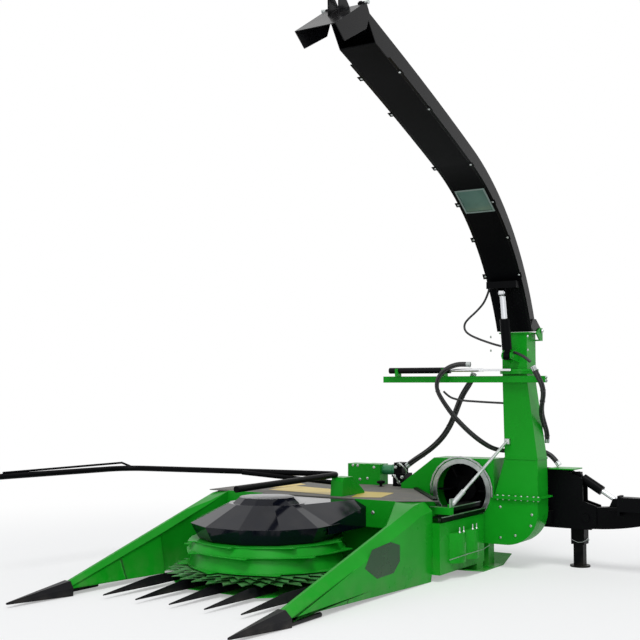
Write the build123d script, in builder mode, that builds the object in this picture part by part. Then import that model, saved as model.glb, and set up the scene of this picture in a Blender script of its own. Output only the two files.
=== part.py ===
from build123d import *
import math
import os

os.makedirs("parts", exist_ok=True)

# Tractor mounted forage harvester, parked on its header skids and its leg.
# Millimetres. The drum turns about X = 0, Y = 0, and the floor is Z = 0.
# -Y is the driving direction, +X is towards the tractor, +Z is up.

# Clearances
run_gap = 0.05        # radial, shaft in bearing
face_gap = 0.5        # between faces that slide past each other
swing_gap = 6         # between pieces that move past each other
sheet = 4             # folded sheet
heavy_sheet = 6       # plates that carry

deck_z = 545

# Drum and knives
drum_r = 500
hook_r = drum_r + 105
hook_count = 8
rim_t = 7
knife_r = drum_r + 180
knife_root_r = knife_r - 115
knife_count = 34
knife_t = 6
knife_pitch = 17      # height from one knife disc to the next
knife_low_z = 98

# Header, the part that gathers the crop
inner_x = knife_r + 40       # inner face of a divider
outer_x = inner_x + 210      # outer face of a divider at the knee
nose_in_x = inner_x + 75     # inner and outer face where the nose cap begins
nose_out_x = inner_x + 185
nose_y = -1030
tip_x = inner_x + 122
tip_y = -1525
nose_height = 92
fold_y = -270         # the inner panel is folded here
fold_in_x = inner_x + 55
knee_y = 560
knee_z = deck_z
divider_end_y = 650
ridge_chamfer = 62
skid_rod_d = 30
skid_rod_end_y = -712
back_wall_y = knife_r + 22

pan_z = 20            # underside of the pan
pan_half_x = inner_x - 20
pan_front_y = -drum_r - 40
skid_dish_r = 260
post_r = 55
finger_count = 5
finger_pitch = 270
finger_tip_y = -1013
finger_root_y = pan_front_y - 40
finger_end_y = -300
finger_w = 70
finger_h = 56

# Cover over the drum
dome_sides = 12
dome_rim_r = drum_r + 20
dome_skirt_r = drum_r - 35
dome_top_r = drum_r - 235
dome_cap_r = 190
dome_skirt_z = 324
dome_rim_z = 423
dome_top_z = 549
dome_cap_z = 588
cover_half_x = drum_r - 10
cover_low_z = 363
cover_edge_z = 503    # where its wall turns into the roof at the deck
cover_slope_x = 90

# Deck
deck_front_y = drum_r
deck_left_x = -900
deck_back_y = 1640
cut_front = (outer_x + 18, back_wall_y - 4)
cut_slope = -0.75     # X per Y along the slanted edge
deck_beam_y = (1180, 1280)
deck_beam_h = 140

# Chopper
chop_front_y = 1400
chop_depth = 200
wheel_x = 800
wheel_z = 556
wheel_r = 232
ring_hole_r = 202
ring_r = 238
chute_left_x = 1060
chute_right_x = 1400
chop_low_z = 180
chop_corner_r = 250
chute_flange_z = 525
chop_top_z = 800

# Tower
tower_x = 1232        # axis that the spout turns about
tower_y = 1485
tower_w = 193
tower_d = 170
seam_z = 811
seam_left_x = 1147
seam_right_x = 1400
tower_top_z = 1372
ring_z = 1430
turn_flange_r = 140
chain_r = 150         # pitch radius of the chain on the turning collar

# Spout
hinge_y = 1577
hinge_z = 1748
base_top_z = 1735
spout_w = 240
spout_depth = 120
spout_foot_y = 1529   # outer wall at the foot
lower_bend_r = 1952
upper_bend_r = 21200
foot_angle = 71.2     # elevation of the outer wall, in degrees
bend_angle = 22.7
mouth_angle = 19.5
mouth_run = 330       # straight end of the outer wall
mouth_slant = 1.5     # how much the mouth is cut back per depth

# Cylinder that folds the spout, its pins given along Y and Z
fold_low = (1270, 1560)
fold_high = (1190, 2010)
fold_range = 40
fold_tube_d = 72
fold_rod_d = 44
fold_tube_len = 272

# Flap at the mouth
flap_w = 262
flap_len = 375
flap_depth = 112
flap_tilt = -33
flap_up = 40
flap_down = 15

# Parking leg
leg_x = 1556
leg_tube = 74
sleeve_tube = 100
foot_r = 74
foot_t = 12
leg_lift = 150
sleeve_low_z = foot_t + leg_lift + swing_gap

# Rear frame, beam and headstock
beam_y = 1725
beam_h = 156
beam_t = 90
beam_z = 380
tilt_x = 1660         # the beam tilts about this line
beam_bend_r = 1800
tilt_up = 15
tilt_down = 6
tilt_high = (1592, 684)    # cylinder pins, along X and Z
tilt_low = (1876, 510)
tilt_tube_d = 70
tilt_rod_d = 36
tilt_tube_len = 205
hitch_x = 2330
hitch_z = 500
hitch_tube = 100
lower_pin_gap = 825
lower_pin_d = 28
lower_pin_len = 82
top_hole_d = 25.7
mast_gap = 54         # between the ears for the top link
mast_ear_t = 14
mast_height = 610
pto_d = 34.9
pto_len = 80
pto_journal_d = 45
pto_z = 680


def side(x):
    """Plane whose sketch runs along Y and Z, extruded towards +X."""
    return Plane.YZ.offset(x)


def front(y):
    """Plane whose sketch runs along X and Z, extruded towards -Y."""
    return Plane.XZ.offset(-y)


def flat(z):
    """Plane whose sketch runs along X and Y, extruded towards +Z."""
    return Plane.XY.offset(z)


def keep(part, name):
    part.label = name
    export_step(part, f"parts/{name}.step")


def bar(start, end, radius):
    """A round bar between two points."""
    run = Vector(*end) - Vector(*start)
    with BuildPart() as made:
        with BuildSketch(Plane(origin=start, z_dir=run)):
            Circle(radius)
        extrude(amount=run.length)
    return made.part


def block(x_span, y_span, z_span):
    """A block given by its lowest and highest X, Y and Z."""
    with BuildPart() as made:
        with BuildSketch(flat(z_span[0])):
            with Locations(((x_span[0] + x_span[1]) / 2, (y_span[0] + y_span[1]) / 2)):
                Rectangle(x_span[1] - x_span[0], y_span[1] - y_span[0])
        extrude(amount=z_span[1] - z_span[0])
    return made.part


# Dividers: folded sheet shells with a ridge that rises to a knee
def ridge_z(y):
    rise = (knee_z - nose_height) / (knee_y - nose_y)
    return nose_height + rise * (min(y, knee_y) - nose_y)


def outer_face_x(y):
    spread = (outer_x - nose_out_x) / (knee_y - nose_y)
    return nose_out_x + spread * (min(y, knee_y) - nose_y)


# place along Y, inner face
divider_sections = [
    (nose_y, nose_in_x),
    (fold_y, fold_in_x),
    (knee_y - 200, inner_x),
    (knee_y, inner_x),
    (divider_end_y, inner_x),
]


def divider_form(inset, low_z):
    """The outer form, or the hollow inside it when the inset is the sheet."""
    bevel = ridge_chamfer - inset * (2 - math.sqrt(2))
    with BuildPart() as form:
        for y, inner in divider_sections:
            ends = inset if y == nose_y else -inset if y == divider_end_y else 0
            left, right = inner + inset, outer_face_x(y) - inset
            top = ridge_z(y) - inset
            with BuildSketch(front(y + ends)):
                with BuildLine():
                    Polyline(
                        (left, low_z),
                        (left, top),
                        (right - bevel, top),
                        (right, top - bevel),
                        (right, low_z),
                        close=True,
                    )
                make_face()
        loft(ruled=True)
    return form.part


with BuildPart() as divider_left:
    add(divider_form(0, 0))
    add(divider_form(sheet, -10), mode=Mode.SUBTRACT)
    with BuildSketch(side(inner_x - 10)):
        with BuildLine():
            Polyline(
                (nose_y - 1, -1),
                (nose_y - 1, skid_rod_d + 16),
                (divider_end_y + 30, -1),
                close=True,
            )
        make_face()
    extrude(amount=outer_x - inner_x + 20, mode=Mode.SUBTRACT)
keep(divider_left.part, "divider_left")

with BuildPart() as divider_right:
    add(divider_left.part.mirror(Plane.YZ))
keep(divider_right.part, "divider_right")


# Nose caps, each with the skid rod that runs back under its divider
# place along Y, inner face, outer face, underside, top
nose_sections = [
    (tip_y, tip_x - 7, tip_x + 7, 22, 34),
    (nose_y, nose_in_x - 12, nose_out_x + 2, 0, nose_height + 2),
]
with BuildPart() as nose_cap_left:
    for y, left, right, low, high in nose_sections:
        mid = (high - low) * 0.55 + low
        corner = (right - left) * 0.22
        with BuildSketch(front(y)):
            with BuildLine():
                Polyline(
                    (left, low),
                    (left, mid),
                    (left + corner, high),
                    (right - corner * 1.6, high),
                    (right, mid),
                    (right, low),
                    close=True,
                )
            make_face()
    loft(ruled=True)
    with BuildSketch(front(skid_rod_end_y)):
        with Locations((nose_out_x - 18, skid_rod_d / 2 + 1.5)):
            Circle(skid_rod_d / 2)
    extrude(amount=skid_rod_end_y - nose_y + 60)
keep(nose_cap_left.part, "nose_cap_left")

with BuildPart() as nose_cap_right:
    add(nose_cap_left.part.mirror(Plane.YZ))
keep(nose_cap_right.part, "nose_cap_right")


# Pan under the drum, with the skid dish and the post that the drum turns on
pan_top_z = pan_z + heavy_sheet
drum_top_z = dome_skirt_z - swing_gap - 2
with BuildPart() as header_pan:
    with BuildSketch(flat(pan_z)):
        with BuildLine():
            Polyline(
                (-pan_half_x, -80),
                (-pan_half_x * 0.88, pan_front_y * 0.5),
                (-pan_half_x * 0.45, pan_front_y),
                (pan_half_x * 0.45, pan_front_y),
                (pan_half_x * 0.88, pan_front_y * 0.5),
                (pan_half_x, -80),
                (pan_half_x, back_wall_y),
                (-pan_half_x, back_wall_y),
                close=True,
            )
        make_face()
    extrude(amount=heavy_sheet)
    with BuildSketch(flat(0)):
        Circle(skid_dish_r)
    extrude(amount=pan_z, taper=-45)
    with BuildSketch(flat(pan_top_z)):
        Circle(post_r)
    extrude(amount=dome_skirt_z + 30 - pan_top_z)
    with BuildSketch(flat(pan_top_z)):
        Circle(post_r + 60)
    extrude(amount=knife_low_z - pan_top_z - swing_gap)
keep(header_pan.part, "header_pan")


# Stalk fingers: long points that lie on the pan and stand out in front of it
finger_places = [finger_pitch * (i - (finger_count - 1) / 2) for i in range(finger_count)]
with BuildPart() as stalk_fingers:
    for x in finger_places:
        with BuildSketch(front(finger_tip_y)):
            with BuildLine():
                Polyline((x - 4, pan_top_z), (x, pan_top_z + 8), (x + 4, pan_top_z), close=True)
            make_face()
        with BuildSketch(front(finger_root_y)):
            with BuildLine():
                Polyline(
                    (x - finger_w / 2, pan_top_z),
                    (x, pan_top_z + finger_h),
                    (x + finger_w / 2, pan_top_z),
                    close=True,
                )
            make_face()
        loft(ruled=True)
        with BuildSketch(front(finger_root_y)):
            with BuildLine():
                Polyline(
                    (x - finger_w / 2, pan_top_z),
                    (x, pan_top_z + finger_h),
                    (x + finger_w / 2, pan_top_z),
                    close=True,
                )
            make_face()
        extrude(amount=finger_root_y - finger_end_y)
keep(stalk_fingers.part, "stalk_fingers")


def toothed_ring(tips, inner_r, z, thickness):
    """A plate whose edge runs through the tips, given as radius and degrees."""
    points = [
        (r * math.cos(math.radians(a)), r * math.sin(math.radians(a))) for r, a in tips
    ]
    with BuildPart() as ring:
        with BuildSketch(flat(z)):
            with BuildLine():
                Polyline(*points, close=True)
            make_face()
            Circle(inner_r, mode=Mode.SUBTRACT)
        extrude(amount=thickness)
    return ring.part


# Gathering drum: bands that flare down to rims with hooked teeth
def hook_tips(root, tip, turn):
    """Ratchet teeth: a long rise to each tip and a short step back."""
    pitch = 360 / hook_count
    points = []
    for i in range(hook_count):
        for part, share in ((0, 0.0), (0.35, 0.12), (0.7, 0.42), (0.93, 1.0), (0.97, 0.85)):
            points.append((root + (tip - root) * share, turn + (i + part) * pitch))
    return points


# underside, inner radius, root radius, tip radius, turn in degrees
rims = [
    (148, drum_r + 24, drum_r + 40, hook_r, 0),
    (248, drum_r + 10, drum_r + 36, hook_r - 12, 24),
    (drum_top_z - rim_t, drum_r - 6, drum_r + 12, drum_r + 52, 12),
]
with BuildPart() as gathering_drum:
    with BuildSketch(side(0)):
        with BuildLine():
            Polyline(
                (post_r + run_gap, 160),
                (post_r + run_gap, drum_top_z),
                (drum_r, drum_top_z),
                (drum_r + 26, 252),
                (drum_r - 4, 246),
                (drum_r + 30, 152),
                (drum_r + 30, 148),
                (drum_r + 20, 148),
                (drum_r - 14, 246),
                (drum_r + 8, 254),
                (drum_r - 10, drum_top_z - 8),
                (post_r + 70, drum_top_z - 8),
                (post_r + 30, 160),
                close=True,
            )
        make_face()
    revolve(axis=Axis.Z)
keep(gathering_drum.part, "gathering_drum")
with BuildPart() as drum_hooks:
    for z, inner_r, root, tip, turn in rims:
        add(toothed_ring(hook_tips(root, tip, turn), inner_r, z, rim_t))
    add(gathering_drum.part, mode=Mode.SUBTRACT)
keep(drum_hooks.part, "drum_hooks")


# Knife rotor: serrated discs under the drum
def knife_tips(root, tip, count, turn):
    """Slanted saw teeth."""
    pitch = 360 / count
    points = []
    for i in range(count):
        points.append((root, turn + i * pitch))
        points.append((tip, turn + (i + 0.62) * pitch))
        points.append((root + (tip - root) * 0.55, turn + (i + 0.7) * pitch))
    return points


# underside, root radius, tip radius, teeth, turn in degrees
knife_discs = [
    (knife_low_z, knife_root_r, knife_r, knife_count, 0),
    (knife_low_z + knife_pitch, knife_root_r - 20, knife_r - 30, knife_count, 4),
    (knife_low_z + 2 * knife_pitch, knife_root_r - 30, knife_r - 55, knife_count, 7),
]
with BuildPart() as knife_rotor:
    for z, root, tip, count, turn in knife_discs:
        add(toothed_ring(knife_tips(root, tip, count, turn), post_r + run_gap, z, knife_t))
    with BuildSketch(flat(knife_low_z)):
        Circle(post_r + 110)
        Circle(post_r + run_gap, mode=Mode.SUBTRACT)
    extrude(amount=2 * knife_pitch + knife_t)
keep(knife_rotor.part, "knife_rotor")


# Cover over the drum: a faceted dome with a cap, and a roof back to the deck
def dome_form(inset):
    """Skirt, dome, cap and the roof behind them, or their inside."""
    low = dome_skirt_z - (1 if inset else 0)
    wall_low = cover_low_z - (1 if inset else 0)
    with BuildPart() as form:
        # radius, height
        levels = [
            (dome_skirt_r, low),
            (dome_rim_r, dome_rim_z),
            (dome_top_r, dome_top_z - inset),
        ]
        for r, z in levels:
            with BuildSketch(flat(z)):
                RegularPolygon(r - inset, dome_sides, rotation=15)
        loft(ruled=True)
        with BuildSketch(flat(dome_top_z - 2 * inset)):
            RegularPolygon(dome_top_r - 30 - inset, dome_sides, rotation=15)
        with BuildSketch(flat(dome_cap_z - inset)):
            RegularPolygon(dome_cap_r - inset, dome_sides, rotation=15)
        loft(ruled=True)
        # place along Y, half width, height of its edge, half width of its top
        spans = [
            (deck_front_y - inset, cover_half_x, cover_edge_z, cover_half_x - cover_slope_x),
            (0, cover_half_x + 8, dome_rim_z, dome_top_r),
        ]
        for y, half, edge_z, top_half in spans:
            with BuildSketch(front(y)):
                with BuildLine():
                    Polyline(
                        (inset - half, wall_low),
                        (inset - half, edge_z - inset / 2),
                        (inset / 2 - top_half, deck_z - inset),
                        (top_half - inset / 2, deck_z - inset),
                        (half - inset, edge_z - inset / 2),
                        (half - inset, wall_low),
                        close=True,
                    )
                make_face()
        loft(ruled=True)
    return form.part


with BuildPart() as drum_cover:
    add(dome_form(0))
    add(dome_form(sheet), mode=Mode.SUBTRACT)
keep(drum_cover.part, "drum_cover")


# Deck plate with a slanted edge, stepped round the chopper
cut_back_y = chop_front_y - 20
cut_back = (cut_front[0] + cut_slope * (cut_back_y - cut_front[1]), cut_back_y)
deck_step_x = 270
with BuildPart() as header_deck:
    with BuildSketch(flat(deck_z)):
        with BuildLine():
            Polyline(
                (deck_left_x, deck_front_y + heavy_sheet),
                (inner_x - 8, deck_front_y + heavy_sheet),
                cut_front,
                cut_back,
                (deck_step_x, cut_back[1]),
                (deck_step_x, deck_back_y),
                (deck_left_x, deck_back_y),
                close=True,
            )
        make_face()
    extrude(amount=heavy_sheet)
keep(header_deck.part, "header_deck")

edge_run = Vector(*cut_back, 0) - Vector(*cut_front, 0)
with BuildPart() as deck_edge_bar:
    with BuildSketch(Plane(origin=(*cut_front, deck_z + heavy_sheet), x_dir=(0, 0, 1), z_dir=edge_run)):
        with Locations((7, -18)):
            Rectangle(14, 32)
    extrude(amount=edge_run.length - 10)
keep(deck_edge_bar.part, "deck_edge_bar")


# Wall behind the drum, with the ribs that carry the deck
rib_places = [-690, -250, 200]
with BuildPart() as header_back:
    with BuildSketch(front(back_wall_y + heavy_sheet)):
        with Locations((0, (pan_top_z + deck_z) / 2)):
            Rectangle(2 * inner_x - 4, deck_z - pan_top_z)
    extrude(amount=heavy_sheet)
    for x in rib_places:
        with BuildSketch(side(x)):
            with BuildLine():
                Polyline(
                    (back_wall_y + 2, pan_top_z + 60),
                    (back_wall_y + 2, deck_z),
                    (deck_back_y - 60, deck_z),
                    (deck_back_y - 60, deck_z - 60),
                    close=True,
                )
            make_face()
        extrude(amount=heavy_sheet)
    add(block((deck_left_x + 20, 260), deck_beam_y, (deck_z - deck_beam_h, deck_z)))
    for reach in (-1, 1):
        x = reach * (inner_x - sheet / 2)
        add(block((x - 2, x + 2), (knee_y - 40, back_wall_y + 1), (60, deck_z - 20)))
keep(header_back.part, "header_back")


# Chopper: tub with a rounded outer corner, the wheel in it, and its front plate
chop_back_y = chop_front_y + chop_depth
wheel_front_y = chop_front_y + 30
wheel_back_y = chop_back_y - 30
# corners of the housing in X and Z, counter-clockwise from the lower left
housing_low = (470, chop_low_z)
housing_left = (285, 430)
housing_slant_low = (285, 585)
housing_slant_high = (570, chop_top_z - 5)


def housing_outline():
    """Edges of the chopper's housing seen from the front."""
    Line(housing_low, (chute_right_x - chop_corner_r, chop_low_z))
    JernArc(
        (chute_right_x - chop_corner_r, chop_low_z), (1, 0), chop_corner_r, 90
    )
    Polyline(
        (chute_right_x, chop_low_z + chop_corner_r),
        (chute_right_x, chute_flange_z),
        (chute_left_x, chute_flange_z),
        (chute_left_x, chop_top_z),
        housing_slant_high,
        housing_slant_low,
        housing_left,
        housing_low,
    )


with BuildPart() as chopper_housing:
    with BuildSketch(front(chop_back_y)):
        with BuildLine():
            housing_outline()
        make_face()
    extrude(amount=chop_depth)
    with BuildSketch(front(chop_back_y - heavy_sheet)):
        with BuildLine():
            housing_outline()
        make_face()
        offset(amount=-heavy_sheet, kind=Kind.INTERSECTION)
    extrude(amount=chop_depth, mode=Mode.SUBTRACT)
    with BuildSketch(flat(chute_flange_z - heavy_sheet - 1)):
        with Locations(((chute_left_x + chute_right_x) / 2, chop_front_y + chop_depth / 2)):
            Rectangle(chute_right_x - chute_left_x - 12, chop_depth - 12)
    extrude(amount=heavy_sheet + 2, mode=Mode.SUBTRACT)
    with BuildSketch(front(chop_back_y + 60)):
        with Locations((wheel_x, wheel_z)):
            Circle(62)
    extrude(amount=62)
    with BuildSketch(front(chop_back_y + 61)):
        with Locations((wheel_x, wheel_z)):
            Circle(32 + run_gap)
    extrude(amount=80, mode=Mode.SUBTRACT)
keep(chopper_housing.part, "chopper_housing")

with BuildPart() as chopper_front:
    with BuildSketch(front(chop_front_y)):
        with BuildLine():
            housing_outline()
        make_face()
        with Locations((wheel_x, wheel_z)):
            Circle(ring_hole_r, mode=Mode.SUBTRACT)
    extrude(amount=heavy_sheet)
    ledge_y = (chop_front_y - 26, chop_front_y - heavy_sheet)
    add(block((chute_left_x, chute_right_x + 26), ledge_y, (chute_flange_z - 12, chute_flange_z)))
keep(chopper_front.part, "chopper_front")

with BuildPart() as inlet_ring:
    with BuildSketch(front(chop_front_y - heavy_sheet)):
        with Locations((wheel_x, wheel_z)):
            Circle(ring_r)
            Circle(ring_hole_r, mode=Mode.SUBTRACT)
    extrude(amount=14)
keep(inlet_ring.part, "inlet_ring")

blade_count = 6
with BuildPart() as chopper_wheel:
    with BuildSketch(front(wheel_back_y)):
        with Locations((wheel_x, wheel_z)):
            Circle(wheel_r)
    extrude(amount=12)
    with BuildSketch(front(wheel_back_y + 5)):
        with Locations((wheel_x, wheel_z)):
            Circle(75)
    extrude(amount=95)
    with BuildSketch(front(chop_back_y + 75)):
        with Locations((wheel_x, wheel_z)):
            Circle(32)
    extrude(amount=170)
    for i in range(blade_count):
        turn = 360 / blade_count * i
        with BuildSketch(front(wheel_back_y - 10)):
            with Locations((wheel_x, wheel_z)):
                with Locations(Rotation(0, 0, turn)):
                    with Locations((wheel_r - 60, 0)):
                        Rectangle(110, 10)
        extrude(amount=wheel_back_y - 10 - wheel_front_y)
keep(chopper_wheel.part, "chopper_wheel")


# Feed channel beside the divider, with two rounded bulges
feed_left_x = inner_x + 60
feed_right_x = 985
feed_start_y = divider_end_y
feed_low_z = 50
feed_top_z = 400
bulge_r = 115
bulge_low_z = 110
bulge_top_z = 318
bulge_places = [905, 1120]
skid_front_y = 1230
ring_front_y = chop_front_y - heavy_sheet - 14


def bulge_form(y, inset):
    with BuildPart() as form:
        with BuildSketch(flat(bulge_low_z + inset)):
            with Locations((feed_right_x - 50, y)):
                Circle(bulge_r - inset)
        extrude(amount=bulge_top_z - bulge_low_z - 2 * inset)
    return form.part


with BuildPart() as channel_box:
    add(block((feed_left_x, feed_right_x), (feed_start_y, ring_front_y), (feed_low_z, feed_top_z)))
    add(
        block(
            (feed_left_x + sheet, feed_right_x - sheet),
            (feed_start_y - 1, ring_front_y + 1),
            (feed_low_z + sheet, feed_top_z - sheet),
        ),
        mode=Mode.SUBTRACT,
    )
    for bulge_y in bulge_places:
        add(bulge_form(bulge_y, sheet), mode=Mode.SUBTRACT)
    add(block((outer_x - 6, feed_right_x), (feed_start_y, feed_start_y + sheet), (feed_low_z, feed_top_z)))

# Each bulge is a solid of its own, welded on the wall's outer face
feed_solids = [channel_box.part.solid()]
for bulge_y in bulge_places:
    with BuildPart() as bulge_shell:
        add(bulge_form(bulge_y, 0))
        add(bulge_form(bulge_y, sheet), mode=Mode.SUBTRACT)
        add(
            block((feed_right_x, feed_right_x + bulge_r), (bulge_y - bulge_r, bulge_y + bulge_r), (0, feed_top_z)),
            mode=Mode.INTERSECT,
        )
    feed_solids.append(bulge_shell.part.solid())
    print("bulge shell", round(bulge_shell.part.volume), len(bulge_shell.part.solids()))
feed_channel = Compound(children=feed_solids)
print("feed channel", round(channel_box.part.volume), len(channel_box.part.solids()))
keep(feed_channel, "feed_channel")

with BuildPart() as feed_skid:
    with BuildSketch(side(feed_left_x + 20)):
        with BuildLine():
            Polyline(
                (bulge_places[0] + 20, feed_low_z),
                (skid_front_y, 0),
                (chop_back_y - 20, 0),
                (chop_back_y + 140, 60),
                (chop_back_y + 140, 66),
                (chop_back_y - 20, 8),
                (skid_front_y + 8, 8),
                (bulge_places[0] + 50, feed_low_z),
                close=True,
            )
        make_face()
    extrude(amount=250)
    add(block((feed_left_x + 60, feed_right_x), (skid_front_y + 20, 1360), (8, feed_low_z)))
    add(block((feed_left_x + 60, feed_right_x), (1460, 1560), (8, chop_low_z)))
keep(feed_skid.part, "feed_skid")


# Tower: a base on the chute's flange and a tapering duct above the seam
flange_t = 12
seat_z = chute_flange_z + flange_t
# height, left, right, depth
base_levels = [
    (chute_flange_z, chute_left_x, chute_right_x, chop_depth),
    (seam_z, seam_left_x, seam_right_x, chop_depth - 10),
]
tower_levels = [
    (seam_z, seam_left_x, seam_right_x, chop_depth - 10),
    (tower_top_z, tower_x - tower_w / 2, tower_x + tower_w / 2, tower_d),
]


def duct(levels, inset, over):
    """A straight sided duct through rectangles, its front on the chopper's front."""
    with BuildPart() as made:
        for i, (z, left, right, depth) in enumerate(levels):
            ends = (over if i else -over)
            with BuildSketch(flat(z + ends)):
                with Locations(((left + right) / 2, chop_front_y + depth / 2)):
                    Rectangle(right - left - 2 * inset, depth - 2 * inset)
        loft(ruled=True)
    return made.part


def rim(z, thickness, levels, reach, wall):
    """A flange round a duct, flush with it on the left."""
    _, left, right, depth = levels
    with BuildPart() as made:
        with BuildSketch(flat(z)):
            with Locations(((left + right) / 2, chop_front_y + depth / 2)):
                with Locations((reach / 2, 0)):
                    Rectangle(right - left + reach, depth + 2 * reach)
                Rectangle(right - left - 2 * wall, depth - 2 * wall, mode=Mode.SUBTRACT)
        extrude(amount=thickness)
    return made.part


with BuildPart() as tower_base:
    add(duct(base_levels, 0, 0))
    add(duct(base_levels, heavy_sheet, 1), mode=Mode.SUBTRACT)
    add(rim(chute_flange_z, flange_t, base_levels[0], 26, heavy_sheet))
keep(tower_base.part, "tower_base")

with BuildPart() as tower:
    add(duct(tower_levels, 0, 0))
    add(duct(tower_levels, heavy_sheet, 1), mode=Mode.SUBTRACT)
    with BuildSketch(flat(tower_top_z)):
        with Locations((tower_x, tower_y)):
            Rectangle(tower_w, tower_d)
            Rectangle(tower_w - 12, tower_d - 12, mode=Mode.SUBTRACT)
    extrude(amount=ring_z - tower_top_z)
    with BuildSketch(flat(ring_z)):
        with Locations((tower_x, tower_y)):
            Circle(turn_flange_r)
            Rectangle(tower_w - 12, tower_d - 12, mode=Mode.SUBTRACT)
    extrude(amount=10)
keep(tower.part, "tower")

# Cross bar in front of the tower, with the clamps of the turning cylinder
bar_low_z = 1366
bar_h = 48
bar_t = 44
turn_tube_d = 46
chain_half = 6
turn_y = tower_y - chain_r - chain_half
turn_z = 1458
turn_start_x = 225
turn_end_x = 745
turn_rod_r = 12.5
turn_rod_start_x = 458
turn_rod_end_x = 985
clevis_half_y = 9
clevis_half_z = 13
with BuildPart() as cross_bar:
    add(block((150, 1480), (chop_front_y - bar_t, chop_front_y), (bar_low_z, bar_low_z + bar_h)))
    for x in (turn_start_x + 60, turn_end_x - 60):
        with BuildSketch(side(x)):
            with Locations((turn_y, (bar_low_z + bar_h + turn_z) / 2 + 8)):
                Rectangle(62, turn_z - bar_low_z - bar_h + 16)
            with Locations((turn_y, turn_z)):
                Circle(turn_tube_d / 2 + run_gap, mode=Mode.SUBTRACT)
        extrude(amount=24)
keep(cross_bar.part, "cross_bar")

with BuildPart() as turn_cylinder:
    add(bar((turn_start_x, turn_y, turn_z), (turn_end_x, turn_y, turn_z), turn_tube_d / 2))
    with BuildSketch(side(turn_start_x + 10)):
        with Locations((turn_y, turn_z)):
            Circle(turn_rod_r + run_gap)
    extrude(amount=turn_end_x - turn_start_x, mode=Mode.SUBTRACT)
keep(turn_cylinder.part, "turn_cylinder")

with BuildPart() as turn_rod:
    add(bar((turn_rod_start_x, turn_y, turn_z), (turn_rod_end_x, turn_y, turn_z), turn_rod_r))
    add(
        block(
            (turn_rod_end_x - 14, turn_rod_end_x + 25),
            (turn_y - clevis_half_y, turn_y + clevis_half_y),
            (turn_z - clevis_half_z, turn_z + clevis_half_z),
        )
    )
    add(
        block(
            (turn_rod_end_x + 20, tower_x),
            (turn_y - chain_half, turn_y + chain_half),
            (turn_z - 8, turn_z + 8),
        )
    )
keep(turn_rod.part, "turn_rod")


# Turning base of the spout: flange, chain collar and duct
collar_z = ring_z + 10 + face_gap
with BuildPart() as spout_base:
    with BuildSketch(flat(collar_z)):
        with Locations((tower_x, tower_y)):
            Circle(turn_flange_r)
            Rectangle(tower_w - 12, tower_d - 12, mode=Mode.SUBTRACT)
    extrude(amount=8)
    with BuildSketch(flat(collar_z + 8)):
        with Locations((tower_x, tower_y)):
            Circle(chain_r - chain_half - 2)
            Rectangle(tower_w - 12, tower_d - 12, mode=Mode.SUBTRACT)
    extrude(amount=16)
    with BuildSketch(flat(collar_z + 20)):
        with Locations((tower_x, tower_y)):
            Rectangle(tower_w, tower_d)
            Rectangle(tower_w - 12, tower_d - 12, mode=Mode.SUBTRACT)
    extrude(amount=base_top_z - collar_z - 20)
    with BuildSketch(flat(base_top_z - 10)):
        with Locations((tower_x, tower_y)):
            Rectangle(tower_w + 40, tower_d + 20)
            Rectangle(tower_w - 12, tower_d - 12, mode=Mode.SUBTRACT)
    extrude(amount=10)
    for reach in (-1, 1):
        x = tower_x + reach * (tower_w / 2 + 40)
        with BuildSketch(side(x - 5)):
            with BuildLine():
                Polyline(
                    (hinge_y - 90, base_top_z - 10),
                    (hinge_y - 90, base_top_z),
                    (hinge_y - 24, hinge_z + 22),
                    (hinge_y + 24, hinge_z + 22),
                    (hinge_y + 24, base_top_z - 60),
                    (hinge_y - 24, base_top_z - 60),
                    close=True,
                )
            make_face()
            with Locations((hinge_y, hinge_z)):
                Circle(11 + run_gap, mode=Mode.SUBTRACT)
        extrude(amount=10)
        add(
            block(
                (min(x, tower_x), max(x, tower_x)),
                (tower_y + tower_d / 2, hinge_y + 24),
                (base_top_z - 60, base_top_z - 50),
            )
        )
    for reach in (-1, 1):
        x = tower_x + reach * 32
        with BuildSketch(side(x - 5)):
            with BuildLine():
                Polyline(
                    (tower_y - tower_d / 2 + 1, fold_low[1] - 50),
                    (tower_y - tower_d / 2 + 1, fold_low[1] + 60),
                    (fold_low[0] - 22, fold_low[1] + 22),
                    (fold_low[0] - 22, fold_low[1] - 22),
                    close=True,
                )
            make_face()
        extrude(amount=10)
    add(
        bar(
            (tower_x - 44, fold_low[0], fold_low[1]),
            (tower_x + 44, fold_low[0], fold_low[1]),
            15,
        )
    )
keep(spout_base.part, "spout_base")


# Spout: its outer wall follows two arcs and a short straight to the mouth
def wall_normal(angle):
    a = math.radians(angle)
    return Vector(-math.sin(a), -math.cos(a))


foot_z = base_top_z + swing_gap + 2
lower_centre = Vector(spout_foot_y, foot_z) + wall_normal(foot_angle) * lower_bend_r
bend_point = lower_centre - wall_normal(bend_angle) * lower_bend_r
upper_centre = bend_point + wall_normal(bend_angle) * upper_bend_r


def wall_at(angle, depth, run=0):
    """Point of the spout in Y and Z at an elevation, a depth under the outer wall."""
    centre, r = lower_centre, lower_bend_r
    if angle < bend_angle:
        centre, r = upper_centre, upper_bend_r
    a = math.radians(angle)
    point = centre - wall_normal(angle) * (r - depth) + Vector(-math.cos(a), math.sin(a)) * run
    return (point.X, point.Y)


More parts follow.
